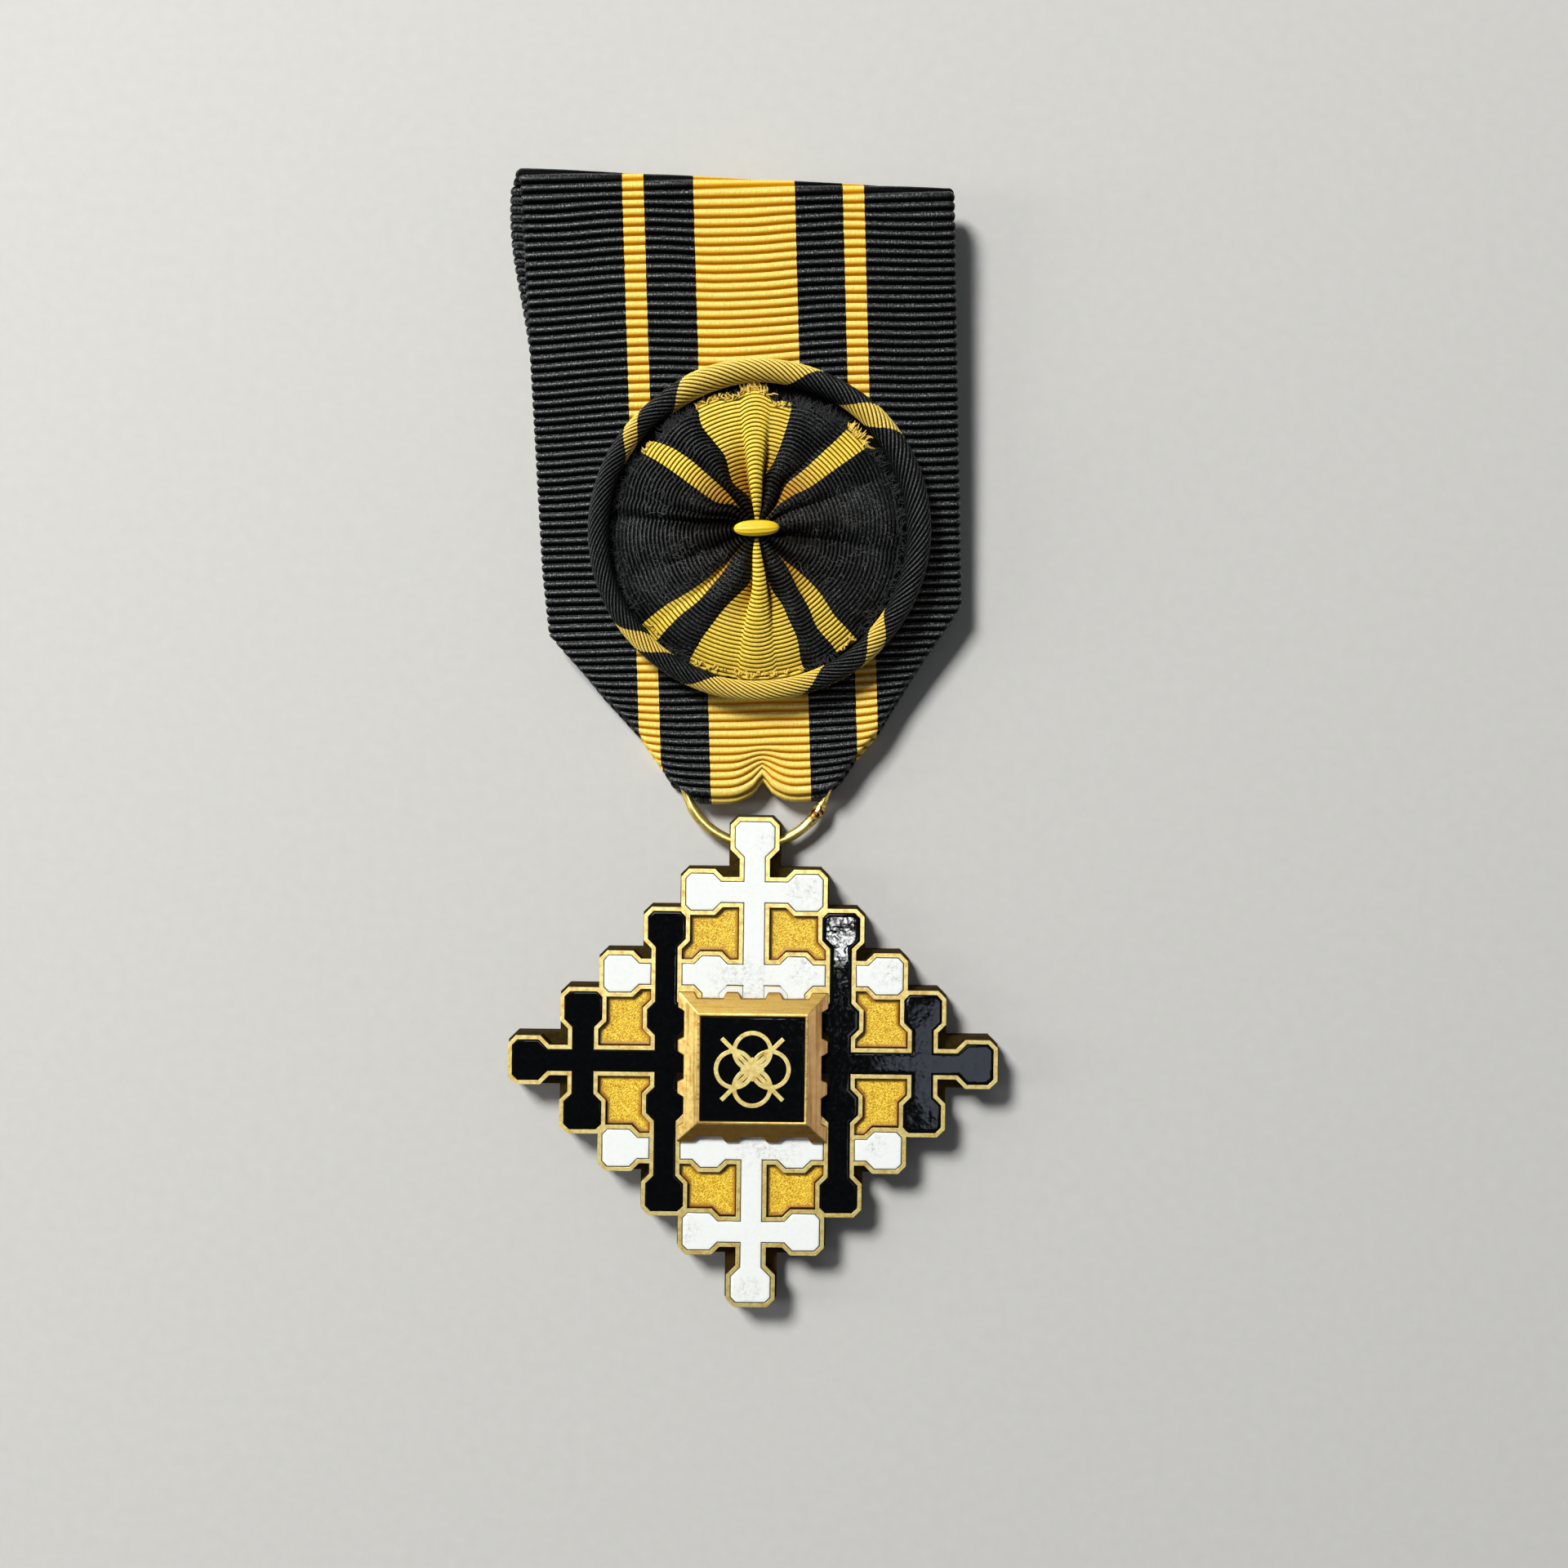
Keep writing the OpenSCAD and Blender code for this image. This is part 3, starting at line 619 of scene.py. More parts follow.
def silk(name, stripes, yellow, painted_valley_colour, threads, gap=0.5, sink=0.0, crown=(0.1, 0.4, 0.6, 0.9), lustre=1.0):
    finish, tree, shader = finish_of(name, IOR=1.5)
    flat = add(tree, "UVMap", uv_map="flat")
    parts = add(tree, "SeparateXYZ", {0: flat})
    across, along = parts.outputs["X"], parts.outputs["Y"]
    valley_at_zero = add(tree, "Math", {0: along, 1: sink}, operation="SUBTRACT")
    cord = add(tree, "Math", {0: valley_at_zero}, operation="FRACT")
    middle = add(tree, "Math", {0: cord, 1: 0.5}, operation="SUBTRACT")
    off = add(tree, "Math", {0: middle}, operation="ABSOLUTE")
    # The warp is pulled tight over a cord's crown and shines there. The crown is also painted lighter as its
    # lit side, and the lower flank stays painted darker as shade.
    climb_start, climb_end, fall_end, fall_start = crown
    stretches = [(off, 0.5 - gap * 0.5, 0.5), (cord, climb_start, climb_end), (cord, fall_start, fall_end)]
    eased = {"interpolation_type": "SMOOTHSTEP"}
    painted_valley_mask, climb, fall = [
        add(tree, "MapRange", {"Value": value, "From Min": start, "From Max": end}, **eased)
        for value, start, end in stretches
    ]
    top = add(tree, "Math", {0: climb, 1: fall}, operation="MINIMUM")
    narrow = add(tree, "Math", {0: top, 1: 1.6}, operation="POWER")
    # Warp threads, drawn coarser than real, and about as long as one cord is wide.
    stretch = add(tree, "Mapping", {"Vector": flat, "Scale": (threads, 1.3, 1)})
    yarn = add(tree, "TexNoise", {"Vector": stretch, "Scale": 1.0, "Detail": 3.0, "Roughness": 0.7})
    drift = add(tree, "MapRange", {"Value": yarn, "To Min": -0.09, "To Max": 0.09})
    spot = add(tree, "Math", {0: across, 1: drift}, operation="ADD")
    share = add(tree, "MapRange", {"Value": spot, "From Min": -SILK_REACH, "From Max": SILK_REACH})
    marks = []
    for kind, start in stripes:
        position = max(0.0, (start + SILK_REACH) / (2 * SILK_REACH))
        marks.append((position, "#FFFFFF" if kind == "yellow" else "#000000"))
    band = add(tree, "ValToRGB", {"Fac": share}, stops=marks)
    band.color_ramp.interpolation = "CONSTANT"
    lively = add(
        tree, "MapRange", {"Value": yarn, "From Min": 0.3, "From Max": 0.7, "To Min": 0.35, "To Max": 1.0}
    )
    # The yarn and the crown mask paint light onto each cord's crown.
    painted_crest_light = add(tree, "MapRange", {"Value": top, "From Max": 0.45})
    light = add(tree, "Math", {0: lively, 1: painted_crest_light}, operation="MULTIPLY")
    gold = add(tree, "Mix", {0: light, 6: yellow[0], 7: yellow[1]}, data_type="RGBA")
    jet = add(tree, "Mix", {0: light, 6: "#020303", 7: "#0E1011"}, data_type="RGBA")
    # Glints of single filaments on the crest of a black cord are painted into the colour as grey specks.
    # They are drawn as wide as the warp threads.
    glint_map = add(tree, "Mapping", {"Vector": flat, "Scale": (threads, 4, 1)})
    glint = add(tree, "TexNoise", {"Vector": glint_map, "Scale": 1.0, "Detail": 1.0})
    # Patches vary how strong the painted glints are.
    patch = add(tree, "TexNoise", {"Vector": flat, "Scale": 0.6, "Detail": 2.0})
    worn = add(
        tree, "MapRange",
        {"Value": patch, "From Min": 0.35, "From Max": 0.65, "To Min": 0.35 * lustre, "To Max": lustre}
    )
    painted_glint = add(tree, "MapRange", {"Value": glint, "From Min": 0.52, "From Max": 0.68})
    painted_glint = add(tree, "Math", {0: painted_glint, 1: narrow}, operation="MULTIPLY")
    painted_glint = add(tree, "Math", {0: painted_glint, 1: worn}, operation="MULTIPLY")
    jet = add(tree, "Mix", {0: painted_glint, 6: jet, 7: "#6C7377"}, data_type="RGBA")
    # The dip between two cords is painted darker, as shade.
    gold_with_painted_valley = add(tree, "Mix", {0: painted_valley_mask, 6: gold, 7: painted_valley_colour}, data_type="RGBA")
    jet_with_painted_valley = add(tree, "Mix", {0: painted_valley_mask, 6: jet, 7: "#020203"}, data_type="RGBA")
    colour = add(tree, "Mix", {0: band, 6: jet_with_painted_valley, 7: gold_with_painted_valley}, data_type="RGBA")
    connect(shader, {"Base Color": colour})
    gloss = add(
        tree, "MapRange", {"Value": yarn, "From Min": 0.3, "From Max": 0.7, "To Min": 0.5, "To Max": 0.28}
    )
    connect(shader, {"Roughness": gloss})
    uneven = add(
        tree, "MapRange", {"Value": glint, "From Min": 0.35, "From Max": 0.65, "To Min": 0.35, "To Max": 1.0}
    )
    gleam = add(tree, "Math", {0: narrow, 1: uneven}, operation="MULTIPLY")
    shine = add(tree, "MapRange", {"Value": gleam, "To Min": 0.03, "To Max": 0.8 * lustre})
    connect(shader, {"Specular IOR Level": shine})
    bump = add(tree, "Bump", {"Height": yarn, "Strength": 0.9, "Distance": 0.07 * MM})
    connect(shader, {"Normal": bump})
    return finish


ribbon_silk = silk(
    "striped silk grosgrain", STRIPES, ("#E4A410", "#FFEA7A"), "#BC7A06", 7.0, sink=0.1,
    crown=(0.12, 0.6, 0.8, 0.98), lustre=0.88,
)
print("nodes in the silk", len(ribbon_silk.node_tree.nodes))

# %% [markdown]
# ## Ribbon
#
# One loop of cloth: up the front, over the top, down the back, which is hidden and so a guess, and round the
# ring. We walk along the loop cord by cord. The top fold runs aslant over the cords, so each column of
# points turns over at its own place. The cords sway by a few tenths of a millimetre, rise at the sides of
# the point and bend up over the pinch above the ring. A cloth simulation would find folds of its own; worked
# out like this, they lie where the photograph shows them.

# %% Ribbon's edges and cords
# Half the cloth's thickness, a cord's height over it and the space between two cords, in mm.
CLOTH_HALF, CORD_HEIGHT, CORD_GAP = 0.16, 0.33, 0.78
LOW_TURN, HIGH_TURN, TOP_SLANT = -7.6, 45.0, 0.0726
FRONT_LOW, FRONT_HIGH, BACK_LOW, BACK_HIGH = 2.5, 4.3, 0.5, 2.3
LEFT_EDGE = [
    (-9.2, -4.6), (-8.3, -6.5), (-7.3, -7.9), (-6.1, -8.6), (-2.8, -10.75), (0.9, -13.95), (6.6, -18.3),
    (12, -18.7), (46, -19.5)
]
RIGHT_EDGE = [
    (-9.2, 5.0), (-8.3, 6.3), (-7.3, 7.4), (-5.5, 8.65), (-3.3, 10.65), (1, 13.4), (8.2, 18.3), (46, 18.5)
]
CORD_STEPS = [0.0, 0.08, 0.25, 0.45, 0.66, 0.88]


def front_level(along):
    # Heights are in mm above the ground, and places along the ribbon count from the point's base.
    return FRONT_LOW + (FRONT_HIGH - FRONT_LOW) * np.maximum(0, along - 1) / (HIGH_TURN - 1)


def back_level(along):
    return BACK_LOW + (BACK_HIGH - BACK_LOW) * np.clip((along - 6) / 28, 0, 1)


def cord_place(cord):
    # The cords lie closer at the point, where the cloth slopes: 0.745 mm there and 0.81 mm at the top.
    gap_at_base, gap_growth = 0.755, 0.0012
    first = gap_at_base + gap_growth * LOW_TURN
    return (first * np.exp(gap_growth * cord) - gap_at_base) / gap_growth - LOW_TURN


def edge_line(table, along):
    return np.interp(along, [pair[0] for pair in table], [pair[1] for pair in table])

low_gap, high_gap = cord_place(1) - cord_place(0), cord_place(67) - cord_place(66)
print("cords apart, in mm", round(low_gap, 3), "to", round(high_gap, 3))

# %% Ribbon's rows and columns
# Fine steps in from each edge, in mm, then even steps across what lies between.
EDGE_WIDTH = 0.6
EDGE_STEPS = [0.0, 0.03, 0.1, 0.2, 0.35, EDGE_WIDTH]
inner_share = np.linspace(0, 1, 33)[1:-1]
across_share = np.array([0.0] * len(EDGE_STEPS) + list(inner_share) + [1.0] * len(EDGE_STEPS))
edge_inset = np.array(EDGE_STEPS + [EDGE_WIDTH] * len(inner_share) + EDGE_STEPS[::-1])
TOP_LEFT, TOP_WIDTH = -19.5, 38.0
top_place = TOP_LEFT + TOP_WIDTH * across_share

turn_over = HIGH_TURN - TOP_SLANT * top_place
high_radius = (front_level(turn_over) - BACK_HIGH) / 2
front_length = turn_over - LOW_TURN
over_length = front_length + math.pi * high_radius
first_cords = 1
while cord_place(first_cords) < over_length.max() + 0.5:
    first_cords += 1
back_length = HIGH_TURN - LOW_TURN
back_cords = round(back_length / CORD_GAP)
low_cords = 4
steps = np.array([cord + step for cord in range(first_cords) for step in CORD_STEPS])
travel = cord_place(steps)[:, None] * np.ones_like(top_place)[None, :]
print("rows over the front and the fold", len(steps), "columns", len(top_place))

# %% Front and top fold
on_front = travel <= front_length
on_fold = (travel > front_length) & (travel <= over_length)
fold_angle = math.pi / 2 - (travel - front_length) / high_radius
fold_middle = (front_level(turn_over) + BACK_HIGH) / 2
along = np.where(on_front, travel + LOW_TURN, np.where(
    on_fold, turn_over + high_radius * np.cos(fold_angle), turn_over - (travel - over_length)))
level = np.where(on_front, front_level(travel + LOW_TURN), np.where(
    on_fold, fold_middle + high_radius * np.sin(fold_angle), back_level(turn_over - (travel - over_length))))
facing = np.where(on_front, math.pi / 2, np.where(on_fold, fold_angle, -math.pi / 2))
is_back = np.where(on_front, 0.0, np.where(on_fold, (math.pi / 2 - fold_angle) / math.pi, 1.0))
print("front's length at its sides, in mm", front_length[0].round(1), front_length[-1].round(1))

# %% Back and lower turn
back_share = np.array([cord + step for cord in range(back_cords) for step in CORD_STEPS]) / back_cords
back_start = turn_over - (cord_place(first_cords) - over_length)
back_along = back_start + (LOW_TURN - back_start) * back_share[:, None]
low_share = np.array([cord + step for cord in range(low_cords) for step in CORD_STEPS]) / low_cords
low_angle = (-math.pi / 2 - math.pi * low_share)[:, None] * np.ones_like(top_place)[None, :]
low_radius = (FRONT_LOW - BACK_LOW) / 2
along = np.concatenate([along, back_along, LOW_TURN + low_radius * np.cos(low_angle)])
level = np.concatenate(
    [level, back_level(back_along), (FRONT_LOW + BACK_LOW) / 2 + low_radius * np.sin(low_angle)]
)
facing = np.concatenate([facing, np.full_like(back_along, -math.pi / 2), low_angle])
is_back = np.concatenate(
    [is_back, np.ones_like(back_along), 1 - low_share[:, None] * np.ones_like(top_place)]
)
cords = first_cords + back_cords + low_cords
print("cords round the loop", cords)

# %% Ribbon's outline
cord_spot = np.array([step for _ in range(cords) for step in CORD_STEPS])[:, None]
# A cord's crest lies a little towards the ribbon's top.
CREST = 0.62
from_crest = np.where(cord_spot < CREST, (CREST - cord_spot) / CREST, (cord_spot - CREST) / (1 - CREST))
swell = np.sqrt(1 - from_crest ** 2)
# The back layer shows past the front near the top, at the left.
bulge_out = 1.35 * np.exp(-((along - 43) / 8.5) ** 2) * is_back
left = edge_line(LEFT_EDGE, along) - bulge_out
right = edge_line(RIGHT_EDGE, along)
point_part = 1 - smooth((along - 3) / 4)
scallop = (0.24 - 0.12 * point_part) * swell
left_side = (across_share < 0.5)[None, :]
near_edge = np.exp(-edge_inset / 0.25)[None, :]
inset = np.where(left_side, edge_inset, -edge_inset)
inner_left, inner_right = left + EDGE_WIDTH, right - EDGE_WIDTH
across = np.where(
    edge_inset[None, :] < EDGE_WIDTH, np.where(left_side, left, right) + inset,
    inner_left + (inner_right - inner_left) * across_share[None, :],
)
across = across + np.where(left_side, -1, 1) * near_edge * (scallop - 0.1)
from_edge = np.minimum(across - left, right - across)
print("widest place, in mm", round(float((right - left).max()), 1))

# %% Sway of the cords
# How the cords sway, in mm: a wave across the cloth, a slant, the raised sides of the point and the pinch.
PINCH_AT = 0.25
front_share = 1 - is_back
wave = 0.16 * np.cos(2 * math.pi * (across + 10) / 18) * smooth((along - 8) / 14)
trend = 0.014 * across * np.exp(-((along - 29) / 8) ** 2)
side_rise = 0.55 * np.exp(-np.maximum(0, from_edge) / 2.4) * (1 - smooth((along + 1.5) / 7))
pinch = 1.1 * np.exp(-((across - PINCH_AT) / 1.6) ** 2) * smooth((-3.2 - along) / 3.6)
pinch = pinch + 0.8 * np.exp(-((across - PINCH_AT) / 0.5) ** 2) * smooth((-5.8 - along) / 2.4)
settle = 1 - smooth((along - (turn_over[None, :] - 2.5)) / 2.5)
drift = 0.05 * ripple(across, along, 7.0, 11)
moved = front_share * settle * (wave + trend + drift) + side_rise * front_share + pinch
print("most that a cord moves, in mm", round(float(np.abs(moved).max()), 2))

# %% Edges and billow
# The edges are round, the turned-in hem adds 0.8 mm at the back of the front layer, and the cloth billows.
edge_round = 0.35 + 0.35 * point_part
body_of_edge = np.sqrt(np.clip(1 - (1 - np.clip(edge_inset[None, :] / edge_round, 0, 1)) ** 2, 0, 1))
hem = 0.8 * (smooth((along + 4) / 1.6) - smooth((along - 6) / 3))
hem = hem * (1 - smooth((from_edge - 2) / 0.8)) * front_share
billow = (0.10 * ripple(across, along, 14.0, 5) + 0.03 * ripple(across, along, 4.0, 6)) * front_share
groove = 0.25 * np.exp(-((across - PINCH_AT) / 1.3) ** 2) * smooth((-4 - along) / 3)
billow = billow - groove * front_share
print("billow, in mm", round(float(billow.min()), 2), "to", round(float(billow.max()), 2))


# %% Loop of cloth
def ribbon_side(sign, extra):
    height_out = body_of_edge * (CLOTH_HALF + CORD_HEIGHT * swell) + extra * body_of_edge
    shift = sign * height_out
    return np.stack([
        across, along + moved + shift * np.cos(facing), level + billow + shift * np.sin(facing)], -1)


RIBBON_LEAN, RIBBON_X, RIBBON_Y = math.radians(2.2), 0.08, 31.9


def ribbon_to_row(points):
    # From the ribbon's own places, upright and from its point's base, to the model's.
    x, y, z = points[..., 0], points[..., 1], points[..., 2]
    cos, sin = math.cos(RIBBON_LEAN), math.sin(RIBBON_LEAN)
    return np.stack([RIBBON_X + x * cos - y * sin, RIBBON_Y + x * sin + y * cos, z], -1)


outer_side = ribbon_side(1, 0)
inner_side = ribbon_side(-1, hem)[:, ::-1]
loop_points = ribbon_to_row(np.concatenate([outer_side, inner_side], 1))
map_across = np.concatenate([across, across[:, ::-1], across[:, :1]], 1)
map_across = np.concatenate([map_across, map_across[:1]], 0)
cord_number = np.array([cord + step for cord in range(cords) for step in CORD_STEPS] + [cords])[:, None]
ribbon_map = np.stack([map_across, cord_number * np.ones_like(map_across)], -1)
ribbon = skin(
    "striped_ribbon", loop_points, ribbon_map, ribbon_silk, "ribbon_silk", "ribbon", round_rows=True,
    round_columns=True
)
print("ribbon faces", len(ribbon.data.polygons))

# %% [markdown]
# ## Rosette
#
# A ribbon with the same stripes and finer cords is gathered to its middle from above and from below. Each
# half fans out, so its stripes become rays and its cords become arcs. The gathers are deep at the knot and
# open out towards the rim. One table leads the stripes' edges from the knot to the rim, another raises the
# folds.

# %% Rosette's rays and folds
ROSETTE_TURN = -1.55
RAY_REACH = (1.6, 2.6, 3.0, 3.8, 4.6, 5.6, 6.8, 8.0, 10.0, 12.0)
RAYS = [  # place across the ribbon in mm, then its angle at each of these distances from the knot
    (18.5, -12, -11.3, -11, -10, -9.5, -9, -9, -9, -9, -9),
    (10.55, 47.5, 48.2, 46.5, 43.5, 40.9, 37.5, 37.1, 37.3, 37.1, 37),
    (8.62, 47.6, 48.5, 51.1, 55.4, 57.6, 53.6, 51.3, 50.2, 48.9, 48.4),
    (4.42, 76.5, 79.1, 79.9, 81.2, 82, 76.5, 74.8, 74.2, 74.2, 75),
    (1, 77.1, 79.7, 80.7, 82.4, 83.3, 83.6, 83.9, 84.5, 85.1, 86),
    (-1, 99.8, 99.9, 100, 99.3, 98.6, 98, 97.3, 96.9, 96, 95),
    (-4.45, 100.4, 100.6, 103.5, 115.5, 118.8, 115.8, 113.5, 116.1, 119, 116),
    (-8.75, 129.5, 129.5, 129, 129.3, 130.2, 131.7, 133, 133.8, 136, 140),
    (-10.75, 129.6, 129.8, 137, 148.5, 149, 148.1, 147.7, 147, 146.4, 146.7),
    (-19.5, 163, 166.5, 168, 171, 173, 174.5, 174.5, 174.5, 174.5, 174.5),
    (-10.75, 229, 229.2, 229.3, 229, 225.3, 226, 224.2, 222.5, 219.5, 218.6),
    (-8.75, 229.1, 229.3, 229.5, 230.5, 232.9, 232.1, 231.7, 231.4, 228.3, 227.7),
    (-4.45, 258, 261.2, 262.2, 264, 264.4, 255.8, 249.5, 246.2, 243.2, 242.1),
    (-1, 258.8, 261.9, 262.9, 264.6, 265.4, 265.4, 264.2, 263.5, 263, 263),
    (1, 280.8, 281.3, 281.4, 281.2, 280.8, 279.9, 278.8, 277.8, 276.8, 276.5),
    (4.42, 281.4, 281.8, 282, 281.9, 281.6, 283.5, 288.3, 288.9, 290.3, 288.2),
    (8.62, 309, 309.2, 309.3, 308.8, 306.9, 304.6, 303.2, 302.9, 300.5, 302.6),
    (10.55, 309.1, 309.3, 309.5, 311, 313.3, 314.4, 314.8, 314.2, 311.5, 312.1),
    (18.5, 348, 348.7, 349, 350, 350.5, 351, 351, 351, 351, 351),
]
FOLDS = [  # angle at 12 mm, then the fold's height in mm near the knot and near the rim
    (-9, -0.9, -0.32), (7, 0.25, 0.14), (22, -0.3, -0.1), (31, 0.25, 0.1), (43, 0.0, 0.02),
    (51, -0.45, -0.05), (65, 0.32, 0.14), (75, -0.4, -0.04), (84.6, -1.1, 0.0), (86.1, 0.2, 0.08),
    (90.5, 0.42, 0.18), (94.9, 0.2, 0.08), (96.4, -1.1, -0.02), (116, -0.5, -0.1), (128, 0.35, 0.2),
    (138.5, -0.35, -0.12), (143, -0.1, 0.02), (148, -0.4, -0.12), (157, 0.25, 0.15), (166, -0.3, -0.1),
    (169.5, 0.1, 0.1), (174.5, -0.9, -0.3), (187, 0.25, 0.15), (200, -0.3, 0.0), (210, 0.2, 0.14),
    (223, -0.45, -0.06), (235, 0.35, 0.16), (242, -0.35, -0.02), (262, -1.1, 0.0), (263.5, 0.2, 0.1),
    (270, 0.42, 0.18), (276.3, 0.2, 0.1), (277.8, -1.1, 0.0), (289.5, -0.4, -0.04), (297, 0.35, 0.17),
    (305, -0.1, 0.02), (317, -0.5, -0.2), (332, 0.25, 0.15), (351, -0.9, -0.32),
]
rim_angle = np.arange(-9.0, 351.0, 1.0)
rays = np.array(RAYS)
silk_place = np.interp(rim_angle, rays[:, -1], rays[:, 0])
ray_angles = np.array([np.interp(rim_angle, rays[:, -1], line) for line in rays[:, 1:].T])
print("rays", len(RAYS), "places in the table of folds", len(FOLDS))


# %% Gathers
def fold_line(column):
    # A fold climbs steeply out of its crease and is round on its ridge.
    line = np.zeros_like(rim_angle)
    for start, end in zip(FOLDS, FOLDS[1:]):
        share = (rim_angle - start[0]) / (end[0] - start[0])
        climb = share if end[column] > start[column] else 1 - share
        rise = np.sin(math.pi / 2 * np.clip(climb, 0, 1)) ** 0.8
        low, high = sorted((start[column], end[column]))
        line = np.where((share >= 0) & (share < 1), low + (high - low) * rise, line)
    return line[None, :]


def turned_at(reach):
    columns = range(reach.shape[1])
    return np.stack([np.interp(reach[:, column], RAY_REACH, ray_angles[:, column]) for column in columns], 1)


# Where the cords start and end and how far apart they are, in mm, and how many there are.
FACE_START, FACE_REACH, CORD_PITCH, ROSETTE_CORDS = 0.75, 13.6, 0.368, 35
FACE_STEPS = (0.0, 0.15, 0.38, 0.62, 0.85)
ring_steps = np.array([cord + step for cord in range(ROSETTE_CORDS) for step in FACE_STEPS])
base_radius = FACE_START + CORD_PITCH * ring_steps[:, None]
far = smooth((base_radius - 4.0) / 6.5)
fold = (fold_line(1) * (1 - far) + fold_line(2) * far) * smooth((base_radius - 0.6) / 1.8)
# The cords bow outwards over the folds, most of all in the two yellow fans.
bow = 0.5 + 1.8 * np.abs(np.sin(np.radians(rim_angle))) ** 6
radius = base_radius + bow[None, :] * (fold_line(2) - 0.04) * smooth((base_radius - 1.5) / 4.5)
radius = np.minimum(radius, FACE_REACH)
angle = sum(turned_at(radius + step) for step in (-0.5, -0.25, 0, 0.25, 0.5)) / 5
# At the upper left the cloth is pulled deepest under the rim.
sunk = 0.55 + 0.3 * np.cos(np.radians(angle - 125))
crown_share = np.clip(radius / 12.8, 0, 1)
crown = 1.5 + 1.25 * np.sin(math.pi * crown_share ** 0.8) + 0.1 * crown_share
crown = crown - sunk * smooth((radius - 11.2) / 1.9)
cord_swell = np.sqrt(1 - (2 * (ring_steps % 1.0)[:, None] - 1) ** 2)
east, north = radius * np.cos(np.radians(angle)), radius * np.sin(np.radians(angle))
lift = crown + fold + 0.16 * cord_swell + 0.05 * ripple(east, north, 3.5, 21)
print("face points", lift.shape)

# %% Cut ends
# The cloth is cut short in places and frays; beyond that the black card shows.
CUT_ENDS = [
    (-9, 12.9), (30, 12.4), (38, 12.0), (48, 12.1), (60, 11.8), (75, 11.3), (82, 11.1), (86, 11.6),
    (90, 12.3), (95, 12.2), (98, 11.7), (104, 11.8), (112, 12.1), (118, 11.8), (137, 11.7), (147, 12.2),
    (175, 12.7), (242, 13.1), (289, 13.1), (303, 12.9), (351, 12.9)
]
ragged = 0.12 * ripple(rim_angle, 0 * rim_angle, 6.0, 8) + 0.10 * ripple(rim_angle, 0 * rim_angle, 2.2, 9)
cut_end = np.interp(rim_angle, [pair[0] for pair in CUT_ENDS], [pair[1] for pair in CUT_ENDS]) + ragged
ends = smooth((radius - cut_end[None, :]) / 0.2)
lift = lift - 0.8 * ends
print("cut between, in mm", round(float(cut_end.min()), 1), "and", round(float(cut_end.max()), 1))

# %% Rosette's place on the ribbon
FRONT_SLOPE = math.atan((FRONT_HIGH - FRONT_LOW) / (HIGH_TURN - 1))
ROSETTE_X, ROSETTE_Y, CARD_LIFT = 0.385, 15.13, 0.55
ROSETTE_BASE = FRONT_LOW + (FRONT_HIGH - FRONT_LOW) * 14.1 / (HIGH_TURN - 1) + CARD_LIFT


def rosette_to_row(points):
    x, y, z = points[..., 0], points[..., 1], points[..., 2]
    cos, sin = math.cos(FRONT_SLOPE), math.sin(FRONT_SLOPE)
    moved_points = [ROSETTE_X + x, ROSETTE_Y + y * cos - z * sin, ROSETTE_BASE + y * sin + z * cos]
    return ribbon_to_row(np.stack(moved_points, -1))


def on_face(turned, reach, level):
    facing = np.radians(turned + ROSETTE_TURN)
    return rosette_to_row(np.stack([reach * np.cos(facing), reach * np.sin(facing), level], -1))


print("rosette's middle, in mm", on_face(0.0, 0.0, 0.0).round(2))

# %% Gathered silk
rosette_silk = silk(
    "striped silk, gathered", STRIPES, ("#DDA816", "#FFEF66"), "#4E3105", 5.0, 0.58,
    crown=(0.12, 0.45, 0.6, 0.9), lustre=0.4
)
tree, shader = parts_of(rosette_silk)
under = add(tree, "Attribute", attribute_name="under").outputs["Fac"]
tan = add(tree, "Attribute", attribute_name="tan").outputs["Fac"]
# Near the knot the gathers are painted brownish: partly soil from handling and glue, partly painted shade in
# the deep gathers. The two middle folds stand clear of it.
worn = {0: tan, 6: feeding(shader, "Base Color"), 7: "#BC9A62"}
colour = add(tree, "Mix", worn, data_type="RGBA", blend_type="MULTIPLY")
place = add(tree, "TexCoord").outputs["Object"]
speck = add(tree, "TexNoise", {"Vector": place, "Scale": 7000.0, "Detail": 3.0})
cloud = add(tree, "TexNoise", {"Vector": place, "Scale": 260.0, "Detail": 4.0})
grit = add(tree, "MapRange", {"Value": speck, "From Min": 0.52, "From Max": 0.7, "To Max": 0.5})
where = add(tree, "MapRange", {"Value": cloud, "From Min": 0.45, "From Max": 0.62})
dust = add(tree, "Math", {0: grit, 1: where}, operation="MULTIPLY")
colour = add(tree, "Mix", {0: dust, 6: colour, 7: "#777A78"}, data_type="RGBA")
colour = add(tree, "Mix", {0: under, 6: colour, 7: "#070809"}, data_type="RGBA")
above = add(tree, "Math", {0: 1.0, 1: under}, operation="SUBTRACT")
shine = add(tree, "Math", {0: feeding(shader, "Specular IOR Level"), 1: above}, operation="MULTIPLY")
connect(shader, {"Base Color": colour, "Specular IOR Level": shine})
print("nodes in the gathered silk", len(tree.nodes))

# %% Rosette's face
face_points = on_face(angle, radius, lift)
face_map = np.stack([
    np.ones_like(ring_steps)[:, None] * np.append(silk_place, 18.5)[None, :],
    ring_steps[:, None] * np.ones(len(silk_place) + 1)[None, :]], -1)
face = skin(
    "gathered_face", face_points, face_map, rosette_silk, "rosette_silk", "rosette_face", round_columns=True
)
